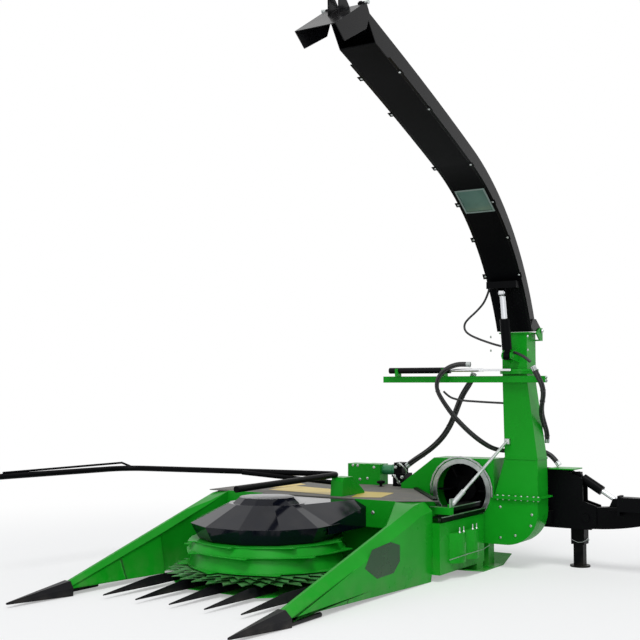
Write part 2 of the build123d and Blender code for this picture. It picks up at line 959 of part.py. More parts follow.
def band(near, far, start=foot_angle, end=mouth_angle, run=mouth_run):
    """A strip of the spout's side view between two depths."""
    def edge(depth):
        if start > bend_angle > end:
            mid = (start + bend_angle) / 2
            ThreePointArc(wall_at(start, depth), wall_at(mid, depth), wall_at(bend_angle, depth))
            mid = (bend_angle + end) / 2
            ThreePointArc(wall_at(bend_angle, depth), wall_at(mid, depth), wall_at(end, depth))
        else:
            mid = (start + end) / 2
            ThreePointArc(wall_at(start, depth), wall_at(mid, depth), wall_at(end, depth))
        if run:
            Line(wall_at(end, depth), wall_at(end, depth, run - mouth_slant * depth))

    with BuildSketch() as strip:
        with BuildLine():
            edge(near)
            edge(far)
            Line(wall_at(start, near), wall_at(start, far))
            Line(
                wall_at(end, near, run - mouth_slant * near if run else 0),
                wall_at(end, far, run - mouth_slant * far if run else 0),
            )
        make_face()
    return strip.sketch


def below_foot():
    """Everything under the spout's foot, to be cut away."""
    return block((tower_x - 300, tower_x + 300), (1200, 1700), (foot_z - 200, foot_z))


spout_left = tower_x - spout_w / 2
spout_right = tower_x + spout_w / 2
with BuildPart() as spout_back:
    with BuildSketch(side(spout_left)):
        add(band(0, sheet))
    extrude(amount=spout_w)
    add(below_foot(), mode=Mode.SUBTRACT)
keep(spout_back.part, "spout_back")

flange_w = 16
ear_t = 11
for name, x, out in (("left", spout_left, -1), ("right", spout_right, 1)):
    with BuildPart() as spout_side:
        with BuildSketch(side(x if out < 0 else x - sheet)):
            add(band(sheet, spout_depth))
        extrude(amount=sheet)
        with BuildSketch(side(x if out > 0 else x - flange_w)):
            add(band(spout_depth - sheet, spout_depth, run=0))
        extrude(amount=flange_w)
        add(below_foot(), mode=Mode.SUBTRACT)
        with BuildSketch(side(spout_right if out > 0 else spout_left - ear_t)):
            with BuildLine():
                Polyline(
                    (1440, foot_z),
                    (1400, foot_z + 30),
                    (1440, foot_z + 90),
                    (1500, foot_z + 90),
                    (hinge_y + 22, hinge_z + 16),
                    (hinge_y + 22, foot_z),
                    close=True,
                )
            make_face()
        extrude(amount=ear_t)
        add(
            bar(
                (x + out * 2, hinge_y, hinge_z),
                (x + out * 26, hinge_y, hinge_z),
                11,
            )
        )
    keep(spout_side.part, f"spout_side_{name}")

window_start = 38
window_end = 31.6
window_edge = 20
with BuildPart() as spout_belly:
    with BuildSketch(side(spout_left + sheet)):
        add(band(spout_depth - sheet, spout_depth))
    extrude(amount=spout_w - 2 * sheet)
    add(below_foot(), mode=Mode.SUBTRACT)
    with BuildSketch(side(spout_left + window_edge)):
        add(band(spout_depth - 20, spout_depth + 20, window_start, window_end, 0))
    extrude(amount=spout_w - 2 * window_edge, mode=Mode.SUBTRACT)
keep(spout_belly.part, "spout_belly")

with BuildPart() as spout_window:
    with BuildSketch(side(spout_left + window_edge)):
        add(band(spout_depth - 3, spout_depth, window_start, window_end, 0))
    extrude(amount=spout_w - 2 * window_edge)
keep(spout_window.part, "spout_window")

yoke_w = spout_w - 10
yoke_ear = 27
yoke_low = 34
with BuildPart() as spout_yoke:
    with BuildSketch(side(tower_x - yoke_w / 2)):
        with BuildLine():
            Polyline(
                (fold_high[0] - 26, fold_high[1] + yoke_low),
                (fold_high[0] - 26, fold_high[1] + yoke_low + 50),
                (fold_high[0] + 250, fold_high[1] + yoke_low + 50),
                (fold_high[0] + 250, fold_high[1] + yoke_low),
                close=True,
            )
        make_face()
    extrude(amount=yoke_w)
    with BuildSketch(side(spout_left - flange_w - 1)):
        add(band(0, spout_depth))
    extrude(amount=spout_w + 2 * flange_w + 2, mode=Mode.SUBTRACT)
    with BuildSketch(side(spout_left - 200)):
        add(band(-200, 0))
    extrude(amount=spout_w + 400, mode=Mode.SUBTRACT)
    for reach in (-1, 1):
        x = tower_x + reach * (yoke_ear + 5)
        with BuildSketch(side(x - 5)):
            with BuildLine():
                Polyline(
                    (fold_high[0] - 24, fold_high[1] - 24),
                    (fold_high[0] - 24, fold_high[1] + yoke_low + 2),
                    (fold_high[0] + 40, fold_high[1] + yoke_low + 2),
                    (fold_high[0] + 40, fold_high[1] - 4),
                    (fold_high[0] + 20, fold_high[1] - 24),
                    close=True,
                )
            make_face()
        extrude(amount=10)
keep(spout_yoke.part, "spout_yoke")


# Cylinders: a tube with an eye on its own pin, and a rod whose eye carries a pin
def cylinder_tube(low, high, across, tube_d, length, bore_d, eye_r, eye_w, pin_r):
    """The tube from its lower pin towards the upper one."""
    run = (Vector(*high) - Vector(*low)).normalized()
    pin = Vector(*low)
    axis = Vector(*across)
    with BuildPart() as made:
        with BuildSketch(Plane(origin=pin + run * (eye_r + 14), z_dir=run)):
            Circle(tube_d / 2)
        extrude(amount=length - eye_r - 14)
        with BuildSketch(Plane(origin=pin, z_dir=run)):
            Circle(eye_w / 2)
        extrude(amount=eye_r + 16)
        with BuildSketch(Plane(origin=pin - axis * (eye_w / 2), z_dir=axis)):
            Circle(eye_r)
        extrude(amount=eye_w)
        with BuildSketch(Plane(origin=pin - axis * eye_w, z_dir=axis)):
            Circle(pin_r + run_gap)
        extrude(amount=2 * eye_w, mode=Mode.SUBTRACT)
        with BuildSketch(Plane(origin=pin + run * (eye_r + 20), z_dir=run)):
            Circle(bore_d / 2 + run_gap)
        extrude(amount=length, mode=Mode.SUBTRACT)
    return made.part


def cylinder_rod(low, high, across, rod_d, start, eye_r, eye_w, pin_r, pin_w):
    """The rod from inside the tube to its eye, with the pin that the eye carries."""
    run = (Vector(*high) - Vector(*low))
    axis = Vector(*across)
    pin = Vector(*high)
    with BuildPart() as made:
        with BuildSketch(Plane(origin=Vector(*low) + run.normalized() * start, z_dir=run)):
            Circle(rod_d / 2)
        extrude(amount=run.length - start - eye_r / 2)
        with BuildSketch(Plane(origin=pin - axis * (eye_w / 2), z_dir=axis)):
            Circle(eye_r)
        extrude(amount=eye_w)
        with BuildSketch(Plane(origin=pin - axis * (pin_w / 2), z_dir=axis)):
            Circle(pin_r)
        extrude(amount=pin_w)
    return made.part


fold_a = (tower_x, *fold_low)
fold_b = (tower_x, *fold_high)
keep(
    cylinder_tube(fold_a, fold_b, (1, 0, 0), fold_tube_d, fold_tube_len, fold_rod_d, 32, 44, 15),
    "fold_tube",
)
keep(
    cylinder_rod(
        fold_a, fold_b, (1, 0, 0), fold_rod_d, 54, 28, 40, 15, 2 * (yoke_ear - face_gap)
    ),
    "fold_rod",
)

# Flap at the mouth, hinged over the outer wall
flap_pin = Vector(*wall_at(mouth_angle, -16, mouth_run + 12))
flap_run = Vector(-math.cos(math.radians(flap_tilt)), math.sin(math.radians(flap_tilt)))
flap_down_dir = wall_normal(flap_tilt)


def flap_at(along, down):
    point = flap_pin + flap_run * along + flap_down_dir * down
    return (point.X, point.Y)


flap_pin_r = 9
flap_start = 21          # where the flap's plate begins behind its pin
hinge_lug_r = 14
flap_lug = (60, -100)    # along the flap and down from its pin
lug_x = 30
with BuildPart() as flap:
    with BuildSketch(side(tower_x - flap_w / 2)):
        with BuildLine():
            Polyline(
                flap_at(-14, 10),
                flap_at(flap_start, 0),
                flap_at(flap_len, 0),
                flap_at(flap_len - 40, flap_depth),
                flap_at(70, flap_depth + 16),
                flap_at(-14, 70),
                close=True,
            )
        make_face()
    extrude(amount=flap_w)
    with BuildSketch(side(tower_x - flap_w / 2 + 5)):
        with BuildLine():
            Polyline(
                flap_at(-60, -30),
                flap_at(flap_start, -30),
                flap_at(flap_start, sheet),
                flap_at(flap_len + 10, sheet),
                flap_at(flap_len + 10, flap_depth + 60),
                flap_at(-60, flap_depth + 60),
                close=True,
            )
        make_face()
    extrude(amount=flap_w - 10, mode=Mode.SUBTRACT)
    for reach in (-1, 1):
        with BuildSketch(side(tower_x + reach * (lug_x + 4) - 4)):
            with BuildLine():
                Polyline(
                    flap_at(20, 1),
                    flap_at(flap_lug[0] - 16, flap_lug[1] - 16),
                    flap_at(flap_lug[0] + 16, flap_lug[1] - 16),
                    flap_at(150, 1),
                    close=True,
                )
            make_face()
        extrude(amount=8)
    for reach in (-1, 1):
        x = tower_x + reach * (flap_w / 2 - 5)
        add(bar((x, flap_pin.X, flap_pin.Y), (x - reach * 40, flap_pin.X, flap_pin.Y), flap_pin_r))
keep(flap.part, "flap")

# Hinge lugs of the flap and the seat of its cylinder, on the spout's outer wall
flap_seat_run = 437      # from the seat of its cylinder to the wall's end
seat_half = math.degrees(94 / upper_bend_r)
flap_seat_angle = mouth_angle + math.degrees((flap_seat_run - mouth_run) / upper_bend_r)
flap_low_pin = Vector(*wall_at(flap_seat_angle, -50))
flap_high_pin = Vector(*flap_at(*flap_lug))
with BuildPart() as flap_lugs:
    for reach in (-1, 1):
        x = tower_x + reach * (flap_w / 2 - 30)
        with BuildSketch(side(x - 6)):
            with BuildLine():
                Polyline(
                    wall_at(mouth_angle, 0, mouth_run - 50),
                    wall_at(mouth_angle, -16 - hinge_lug_r, mouth_run - 6),
                    (flap_pin.X, flap_pin.Y),
                    wall_at(mouth_angle, 0, mouth_run - 1),
                    close=True,
                )
            make_face()
            with Locations((flap_pin.X, flap_pin.Y)):
                Circle(hinge_lug_r)
                Circle(flap_pin_r + run_gap, mode=Mode.SUBTRACT)
        extrude(amount=12)
    for reach in (-1, 1):
        x = tower_x + reach * (lug_x - 4)
        with BuildSketch(side(x - 4)):
            with BuildLine():
                Polyline(
                    wall_at(flap_seat_angle, -1, -50),
                    wall_at(flap_seat_angle, -66, -16),
                    wall_at(flap_seat_angle, -66, 16),
                    wall_at(flap_seat_angle, -1, 50),
                    close=True,
                )
            make_face()
        extrude(amount=8)
    add(
        bar(
            (tower_x - lug_x - 6, flap_low_pin.X, flap_low_pin.Y),
            (tower_x + lug_x + 6, flap_low_pin.X, flap_low_pin.Y),
            8,
        )
    )
    with BuildSketch(side(tower_x - 60)):
        add(band(-6, 0, flap_seat_angle + seat_half, flap_seat_angle - seat_half, 0))
    extrude(amount=120)
keep(flap_lugs.part, "flap_lugs")
flap_a = (tower_x, flap_low_pin.X, flap_low_pin.Y)
flap_b = (tower_x, flap_high_pin.X, flap_high_pin.Y)
keep(cylinder_tube(flap_a, flap_b, (1, 0, 0), 40, 290, 20, 18, 40, 8), "flap_tube")
keep(
    cylinder_rod(flap_a, flap_b, (1, 0, 0), 20, 86, 16, 30, 8, 2 * (lug_x - face_gap)),
    "flap_rod",
)


# Guide bar that steers standing crop: a tube path, a rod beside it and a brace
guide_z = 700
guide_r = 21
# X and Y of the tube's corners, from over the drum to the far end
guide_points = [(232, -655), (172, 668), (-1560, 290), (-1745, -870)]
bracket_y = deck_front_y + 90
bracket_x = 150
guide_brace = ((-567, 478, guide_z - 6), (bracket_x - 5, bracket_y + 50, 640))
with BuildPart() as guide_bar:
    with BuildLine() as guide_path:
        FilletPolyline(*[(x, y, guide_z) for x, y in guide_points], radius=[70, 260])
    with BuildSketch(Plane(origin=guide_path.line @ 0, z_dir=guide_path.line % 0)):
        Circle(guide_r)
    sweep()
    add(bar(guide_brace[0], guide_brace[1], 17))
    bend_x, bend_y = guide_points[2]
    end_x, end_y = guide_points[3]
    add(bar((bend_x + 60, bend_y + 28, guide_z), (bend_x - 28, bend_y - 28, guide_z + 42), 8))
    add(bar((bend_x - 26, bend_y - 22, guide_z + 40), (end_x + 12, end_y + 80, guide_z + 26), 8))
keep(guide_bar.part, "guide_bar")

deck_top_z = deck_z + heavy_sheet
with BuildPart() as guide_bracket:
    with BuildSketch(side(bracket_x)):
        with BuildLine():
            Polyline(
                (bracket_y - 15, deck_top_z),
                (bracket_y - 5, 655),
                (bracket_y + 10, guide_z - guide_r + 5),
                (bracket_y + 130, guide_z - guide_r + 5),
                (bracket_y + 300, deck_top_z + 14),
                (bracket_y + 300, deck_top_z),
                close=True,
            )
        make_face()
    extrude(amount=100)
    add(guide_bar.part, mode=Mode.SUBTRACT)
keep(guide_bracket.part, "guide_bracket")

# Panels between the cover and each divider
with BuildPart() as front_panels:
    y = deck_front_y + heavy_sheet
    for reach in (-1, 1):
        near, far = reach * cover_half_x, reach * inner_x
        cut = near - reach * cover_slope_x
        with BuildSketch(front(y)):
            with BuildLine():
                Polyline(
                    (near, cover_low_z),
                    (near, cover_edge_z),
                    (cut, deck_z),
                    (cut, deck_z + heavy_sheet),
                    (far, deck_z + heavy_sheet),
                    (far, cover_low_z),
                    close=True,
                )
            make_face()
        extrude(amount=heavy_sheet)
keep(front_panels.part, "front_panels")

# Arm behind the near divider, and the strut from it to the tower
arm_y = (737, 795)
arm_x = (outer_x - 90, 1020)
arm_z = (452, 500)
strut_low = (1000, 772, arm_z[1])
strut_high = (1176, chop_front_y - 26, 935)
with BuildPart() as divider_arm:
    add(block(arm_x, arm_y, arm_z))
    add(block((arm_x[0], arm_x[0] + 60), arm_y, (feed_top_z, arm_z[0])))
    x = strut_low[0]
    add(block((x - 6, x + 6), (755, 790), (arm_z[1], arm_z[1] + 24)))
keep(divider_arm.part, "divider_arm")
with BuildPart() as strut:
    low, high = Vector(*strut_low), Vector(*strut_high)
    run = (high - low).normalized()
    add(bar(tuple(low + run * 30), tuple(high), 11))
    add(bar(tuple(low + run * 40), tuple(low + run * 180), 17))
    add(block((low.X + 7, low.X + 15), (low.Y - 16, low.Y + 40), (low.Z + 1, low.Z + 60)))
    add(block((high.X - 20, high.X + 20), (high.Y - 6, chop_front_y), (high.Z - 20, high.Z + 20)))
keep(strut.part, "strut")

# Rear frame: two plates joined by a box, the fork of the beam and the leg's sleeve
fork_t = 12
frame_front_y = beam_y - beam_t / 2 - face_gap
frame_back_y = beam_y + beam_t / 2 + face_gap
frame_left_x = chute_right_x - 90
frame_low_z = beam_z - 84
plate_z = 728
box_left_x = chute_right_x + 20
sleeve_front_y = frame_back_y + fork_t
leg_y = sleeve_front_y + sleeve_tube / 2
with BuildPart() as rear_frame:
    for y in (frame_front_y, frame_back_y + fork_t):
        with BuildSketch(front(y)):
            with BuildLine():
                Polyline(
                    (frame_left_x, frame_low_z),
                    (frame_left_x, plate_z),
                    (tilt_x - 160, plate_z),
                    (tilt_x - 20, plate_z - 65),
                    (tilt_x - 20, beam_z + 120),
                    (tilt_x + 80, beam_z + 90),
                    (tilt_x + 80, beam_z - 50),
                    (tilt_x + 40, frame_low_z),
                    close=True,
                )
            make_face()
            with Locations((tilt_x, beam_z)):
                Circle(30 + run_gap, mode=Mode.SUBTRACT)
        extrude(amount=fork_t)
    inside = (frame_front_y, frame_back_y)
    add(block((frame_left_x, tilt_x - 110), inside, (frame_low_z, frame_low_z + 10)))
    add(block((frame_left_x, tilt_x - 100), inside, (plate_z - 105, plate_z - 97)))
    add(block((frame_left_x, frame_left_x + 10), inside, (frame_low_z + 10, plate_z - 105)))
    add(block((tilt_x - 120, tilt_x - 110), inside, (frame_low_z + 10, beam_z + 90)))
    add(block((frame_left_x, box_left_x), (chop_back_y, frame_front_y - fork_t), (beam_z - 50, beam_z + 40)))
    x, z = tilt_high
    for y in (beam_y - 24, beam_y + 16):
        add(block((x - 60, x + 22), (y, y + 8), (z - 24, z + 24)))
        add(block((x - 60, x - 40), (y, y + 8), (plate_z - 98, z)))
    add(bar((x, beam_y - 26, z), (x, beam_y + 26, z), 13))
    with BuildSketch(flat(sleeve_low_z)):
        with Locations((leg_x, leg_y)):
            Rectangle(sleeve_tube, sleeve_tube)
            side_gap = leg_tube + 2 * face_gap
            Rectangle(side_gap, side_gap, mode=Mode.SUBTRACT)
    extrude(amount=330)
keep(rear_frame.part, "rear_frame")

with BuildPart() as rear_plate:
    add(block((chute_right_x + 4, 1600), (chop_back_y + 4, frame_back_y + fork_t), (plate_z, plate_z + 8)))
keep(rear_plate.part, "rear_plate")

with BuildPart() as parking_leg:
    with BuildSketch(flat(0)):
        with Locations((leg_x, leg_y)):
            Circle(foot_r)
    extrude(amount=foot_t)
    with BuildSketch(flat(foot_t)):
        with Locations((leg_x, leg_y)):
            Rectangle(leg_tube, leg_tube)
            Rectangle(leg_tube - 12, leg_tube - 12, mode=Mode.SUBTRACT)
    extrude(amount=300)
keep(parking_leg.part, "parking_leg")

# Beam: straight at its fork, then bent upwards to the hitch
beam_arc_centre = (tilt_x, beam_z + beam_bend_r)
beam_sweep = math.degrees(math.asin((hitch_x - 60 - tilt_x) / beam_bend_r))


def beam_at(angle, off):
    a = math.radians(angle)
    r = beam_bend_r - off
    return (beam_arc_centre[0] + r * math.sin(a), beam_arc_centre[1] - r * math.cos(a))


def beam_profile(half, ends):
    with BuildSketch() as profile:
        with BuildLine():
            ThreePointArc(
                beam_at(-ends, half), beam_at(beam_sweep / 2, half), beam_at(beam_sweep + ends, half)
            )
            ThreePointArc(
                beam_at(-ends, -half), beam_at(beam_sweep / 2, -half), beam_at(beam_sweep + ends, -half)
            )
            Line(beam_at(-ends, half), beam_at(-ends, -half))
            Line(beam_at(beam_sweep + ends, half), beam_at(beam_sweep + ends, -half))
        make_face()
    return profile.sketch


with BuildPart() as main_beam:
    with BuildSketch(front(beam_y + beam_t / 2)):
        add(beam_profile(beam_h / 2, 0))
        with Locations((tilt_x, beam_z)):
            Circle(beam_h / 2)
    extrude(amount=beam_t)
    with BuildSketch(front(beam_y + beam_t / 2 - 8)):
        add(beam_profile(beam_h / 2 - 8, 1))
        with Locations((tilt_x, beam_z)):
            Circle(48, mode=Mode.SUBTRACT)
    extrude(amount=beam_t - 16, mode=Mode.SUBTRACT)
    add(
        bar(
            (tilt_x, frame_front_y - fork_t - 8, beam_z),
            (tilt_x, frame_back_y + fork_t + 8, beam_z),
            30,
        )
    )
    x, z = tilt_low
    for y in (beam_y - 27 - 10, beam_y + 27):
        with BuildSketch(front(y + 10)):
            with BuildLine():
                Polyline(
                    (x - 60, z - 70), (x - 20, z + 18), (x + 20, z + 18), (x + 60, z - 60), close=True
                )
            make_face()
            add(beam_profile(beam_h / 2 - 4, 1), mode=Mode.SUBTRACT)
        extrude(amount=10)
keep(main_beam.part, "main_beam")

tilt_a = (tilt_high[0], beam_y, tilt_high[1])
tilt_b = (tilt_low[0], beam_y, tilt_low[1])
keep(
    cylinder_tube(tilt_a, tilt_b, (0, 1, 0), tilt_tube_d, tilt_tube_len, tilt_rod_d, 27, 31, 13),
    "tilt_tube",
)
keep(
    cylinder_rod(tilt_a, tilt_b, (0, 1, 0), tilt_rod_d, 114, 26, 40, 14, 2 * (27 - face_gap)),
    "tilt_rod",
)

# Headstock: cross tube, plates with the lower pins, and the mast for the top link
hitch_front_y = beam_y - beam_t / 2 - hitch_tube
pin_y = hitch_front_y + 54
pin_z = hitch_z - 40
mast_y = hitch_front_y + 20
mast_z = pin_z + mast_height
lower_half = lower_pin_gap / 2
with BuildPart() as headstock:
    add(
        block(
            (hitch_x - lower_half + 20, hitch_x + lower_half - 20),
            (hitch_front_y, hitch_front_y + hitch_tube),
            (hitch_z - hitch_tube / 2, hitch_z + hitch_tube / 2),
        )
    )
    add(
        block(
            (hitch_x - lower_half, hitch_x + lower_half),
            (hitch_front_y + 8, hitch_front_y + hitch_tube - 8),
            (hitch_z - hitch_tube / 2 + 8, hitch_z + hitch_tube / 2 - 8),
        ),
        mode=Mode.SUBTRACT,
    )
    for reach in (-1, 1):
        x = hitch_x + reach * (lower_half - 10)
        with BuildSketch(side(x - 10)):
            with BuildLine():
                Polyline(
                    (pin_y - 54, pin_z - 40),
                    (pin_y - 54, pin_z + 30),
                    (hitch_front_y + 20, hitch_z + 60),
                    (hitch_front_y + hitch_tube, hitch_z + 60),
                    (hitch_front_y + hitch_tube, hitch_z - 50),
                    (pin_y + 30, pin_z - 40),
                    close=True,
                )
            make_face()
        extrude(amount=20)
        start = hitch_x + reach * (lower_half - 20)
        end = hitch_x + reach * (lower_half + lower_pin_len)
        add(bar((start, pin_y, pin_z), (end, pin_y, pin_z), lower_pin_d / 2))
    for reach in (-1, 1):
        inner = hitch_x + reach * mast_gap / 2
        outer = hitch_x + reach * 230
        with BuildSketch(front(mast_y + 12)):
            with BuildLine():
                Polyline(
                    (outer, hitch_z + 50),
                    (outer - reach * 80, hitch_z + 50),
                    (inner, mast_z - 160),
                    (inner, mast_z + 34),
                    (inner + reach * mast_ear_t, mast_z + 34),
                    (inner + reach * 60, mast_z - 170),
                    close=True,
                )
            make_face()
        extrude(amount=12)
        with BuildSketch(side(min(inner, inner + reach * mast_ear_t))):
            with BuildLine():
                Polyline(
                    (mast_y - 70, mast_z - 30),
                    (mast_y - 70, mast_z + 34),
                    (mast_y + 12, mast_z + 34),
                    (mast_y + 12, mast_z - 160),
                    close=True,
                )
            make_face()
        extrude(amount=mast_ear_t)
    with BuildSketch(side(hitch_x - mast_gap)):
        with Locations((mast_y - 40, mast_z)):
            Circle(top_hole_d / 2)
    extrude(amount=2 * mast_gap, mode=Mode.SUBTRACT)
keep(headstock.part, "headstock")

with BuildPart() as pto_gearbox:
    add(block((hitch_x - 95, hitch_x + 95), (mast_y + 13, mast_y + 190), (pto_z - 85, pto_z + 90)))
    add(block((hitch_x - 60, hitch_x + 60), (mast_y + 13, mast_y + 78), (hitch_z + 50, pto_z - 84)))
    with BuildSketch(front(mast_y + 14)):
        with Locations((hitch_x, pto_z)):
            Circle(52)
    extrude(amount=20)
    with BuildSketch(front(mast_y + 120)):
        with Locations((hitch_x, pto_z)):
            Circle(pto_journal_d / 2 + run_gap)
    extrude(amount=140, mode=Mode.SUBTRACT)
keep(pto_gearbox.part, "pto_gearbox")
pto_shoulder_y = mast_y - 10
with BuildPart() as pto_shaft:
    with BuildSketch(front(mast_y + 110)):
        with Locations((hitch_x, pto_z)):
            Circle(pto_journal_d / 2)
    extrude(amount=mast_y + 110 - pto_shoulder_y)
    with BuildSketch(front(pto_shoulder_y)):
        with Locations((hitch_x, pto_z)):
            Circle(pto_d / 2)
    extrude(amount=pto_len)
keep(pto_shaft.part, "pto_shaft")

# Hydraulic drive of the gathering drum, behind the deck
with BuildPart() as drum_gearbox:
    add(block((-103, 36), (1500, 1630), (deck_top_z, 715)))
    add(block((-263, -103), (1500, 1620), (deck_top_z, 713)))
keep(drum_gearbox.part, "drum_gearbox")
with BuildPart() as drum_motor:
    add(bar((36, 1565, 672), (163, 1565, 672), 40))
keep(drum_motor.part, "drum_motor")
with BuildPart() as valve_block:
    add(block((163, 262), (1480, 1620), (deck_top_z, 652)))
    add(block((163, 232), (1500, 1610), (651, 735)))
keep(valve_block.part, "valve_block")


# Hoses: straight runs joined by the largest arcs that they allow
def hose(points, width, name):
    """A tube along the points, with its radii printed."""
    radii = []
    for before, here, after in zip(points, points[1:], points[2:]):
        come, go = Vector(*here) - Vector(*before), Vector(*after) - Vector(*here)
        half_turn = math.radians(come.get_angle(go) / 2)
        radii.append(0.45 * min(come.length, go.length) / math.tan(half_turn))
    with BuildPart() as tube:
        with BuildLine() as route:
            FilletPolyline(*points, radius=radii)
        with BuildSketch(Plane(origin=route.line @ 0, z_dir=route.line % 0)):
            Circle(width / 2)
        sweep()
    length = sum(edge.length for edge in route.line.edges())
    section = math.pi * width**2 / 4 * length
    print(name, "radii", [round(r) for r in radii], "volume ratio", tube.part.volume / section)
    keep(tube.part, name)


# from the valves up behind the cross bar
valve_hoses = [
    (245.3, 1550, 706),
    (319, 1551, 758),
    (405, 1546, 807),
    (486, 1540, 863),
    (571, 1530, 937),
    (640, 1510, 1019),
    (690, 1490, 1099),
    (728, 1474, 1170),
    (765, 1462, 1241),
    (806, 1450, 1302),
    (857, 1447, 1372),
    (886, 1441, 1436),
]
# over the cross bar, down in front of it and behind the tower to the rear plate
tractor_hoses = [
    (905, 1345, 1500),
    (860, 1334, 1503),
    (812, 1312, 1502),
    (752, 1280, 1480),
    (690, 1268, 1430),
    (660, 1266, 1368),
    (662, 1270, 1305),
    (690, 1285, 1245),
    (722, 1308, 1185),
    (756, 1332, 1128),
    (797, 1365, 1070),
    (856, 1420, 992),
    (917, 1490, 922),
    (982, 1575, 863),
    (1070, 1645, 846),
    (1180, 1690, 855),
    (1280, 1708, 862),
    (1362, 1714, 836),
    (1410, 1722, 796),
    (1442, 1732, 747.2),
]
# from the loop to the tower's left face
tower_hose = [
    (700, 1302, 1300),
    (730, 1330, 1259),
    (772, 1366, 1240),
    (829, 1398, 1229),
    (915, 1418, 1224),
    (1000, 1432, 1219),
    (1064, 1444, 1216),
    (1137, 1455, 1213),
]
# from under the spout round to the fold cylinder
fold_hose = [
    (1109.8, 1234, 2050),
    (1070, 1262, 1969),
    (996, 1275, 1897),
    (917, 1285, 1840),
    (881, 1290, 1802),
    (882, 1290, 1757),
    (918, 1287, 1722),
    (1000, 1277, 1687),
    (1090, 1267, 1657),
    (1140, 1261, 1642),
    (1187, 1256, 1630),
]
# from the fold cylinder down to the turning collar
collar_hoses = [
    (1273.6, 1290, 1584),
    (1350, 1268, 1566),
    (1410, 1260, 1514),
]
# from the collar down behind the tower's right side
tower_hoses = [
    (1425, 1262, 1484),
    (1455, 1275, 1420),
    (1483, 1292, 1354),
    (1480, 1330, 1288),
    (1440, 1400, 1213),
    (1402, 1480, 1140),
    (1394, 1560, 1060),
    (1390, 1630, 985),
    (1372, 1668, 925),
]
hose(valve_hoses, 46, "valve_hoses")
hose(tractor_hoses, 38, "tractor_hoses")
hose(tower_hose, 16, "tower_hose")
hose(fold_hose, 16, "fold_hose")
hose(collar_hoses, 22, "collar_hoses")
hose(tower_hoses, 40, "tower_hoses")
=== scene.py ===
import math

import bmesh
import bpy
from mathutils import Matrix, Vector


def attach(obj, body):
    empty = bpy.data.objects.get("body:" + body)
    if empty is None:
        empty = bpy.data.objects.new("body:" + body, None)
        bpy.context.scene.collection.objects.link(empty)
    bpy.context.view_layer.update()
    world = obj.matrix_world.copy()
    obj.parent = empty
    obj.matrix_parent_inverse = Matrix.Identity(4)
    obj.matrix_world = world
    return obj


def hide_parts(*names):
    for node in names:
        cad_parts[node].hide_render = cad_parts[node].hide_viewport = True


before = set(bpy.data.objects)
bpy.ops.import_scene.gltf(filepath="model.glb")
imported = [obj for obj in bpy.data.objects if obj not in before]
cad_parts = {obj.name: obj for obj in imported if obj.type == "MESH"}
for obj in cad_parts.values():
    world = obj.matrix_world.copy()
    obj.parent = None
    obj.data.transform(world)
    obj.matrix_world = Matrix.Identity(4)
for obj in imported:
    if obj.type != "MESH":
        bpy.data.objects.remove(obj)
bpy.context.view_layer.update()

UP = Vector((0, 0, 1))
X = Vector((1, 0, 0))
Y = Vector((0, 1, 0))


# Camera where the photograph was taken: a standing person to the front right
camera_place = (4.357, -6.117, 1.35)
camera_turn = math.radians(32.7)
camera_pitch = math.radians(3.4)
camera_lens = 61.26
camera_sensor = 36


def place_camera():
    data = bpy.data.cameras.new("photo_camera")
    data.sensor_width = camera_sensor
    data.lens = camera_lens
    data.clip_end = 200
    camera = bpy.data.objects.new("photo_camera", data)
    camera.location = camera_place
    camera.rotation_euler = (math.pi / 2 + camera_pitch, 0, camera_turn)
    bpy.context.collection.objects.link(camera)
    bpy.context.scene.camera = camera


place_camera()


# Meshes
def axes_of(direction):
    """Two directions across a direction, and the direction itself."""
    along = Vector(direction).normalized()
    helper = UP if abs(along.z) < 0.9 else X
    across = helper.cross(along).normalized()
    return across, along.cross(across), along


def add_rings(mesh, rings):
    """Skins rings of points, one after the other, and caps both ends."""
    made = [[mesh.verts.new(p) for p in ring] for ring in rings]
    count = len(made[0])
    for low, high in zip(made, made[1:]):
        for i in range(count):
            j = (i + 1) % count
            mesh.faces.new((low[i], low[j], high[j], high[i]))
    mesh.faces.new(list(reversed(made[0])))
    mesh.faces.new(made[-1])


def add_turned(mesh, foot, direction, profile, sides):
    """A turned form: profile lists radius and height along the direction."""
    across, other, along = axes_of(direction)
    rings = []
    for radius, height in profile:
        ring = []
        for i in range(sides):
            a = 2 * math.pi * i / sides
            offset = across * math.cos(a) + other * math.sin(a)
            ring.append(Vector(foot) + offset * radius + along * height)
        rings.append(ring)
    add_rings(mesh, rings)


def add_bolt(mesh, foot, direction, width, height, stud=0.0):
    """A hexagon head on its washer, with a stud standing out of it if asked."""
    washer, washer_t = width * 1.35, 0.002
    add_turned(mesh, foot, direction, [(washer, 0), (washer, washer_t)], 14)
    chamfer = height * 0.2
    head = [(width, washer_t), (width, height - chamfer), (width * 0.86, height)]
    add_turned(mesh, foot, direction, head, 6)
    if stud:
        core = width * 0.5
        add_turned(mesh, foot, direction, [(core, height), (core, height + stud)], 8)


def add_tube(mesh, points, radius, sides=10):
    """A round tube along points."""
    points = [Vector(p) for p in points]
    across = None
    rings = []
    for i, point in enumerate(points):
        ahead = points[min(i + 1, len(points) - 1)]
        behind = points[max(i - 1, 0)]
        along = (ahead - behind).normalized()
        if across is None:
            across = axes_of(along)[0]
        across = (across - along * across.dot(along)).normalized()
        other = along.cross(across)
        ring = []
        for k in range(sides):
            a = 2 * math.pi * k / sides
            ring.append(point + (across * math.cos(a) + other * math.sin(a)) * radius)
        rings.append(ring)
    add_rings(mesh, rings)


def add_block(mesh, low, high):
    """A block between two corners."""
    low, high = Vector(low), Vector(high)
    flat = [(low.x, low.y), (high.x, low.y), (high.x, high.y), (low.x, high.y)]
    add_rings(mesh, [[Vector((x, y, z)) for x, y in flat] for z in (low.z, high.z)])


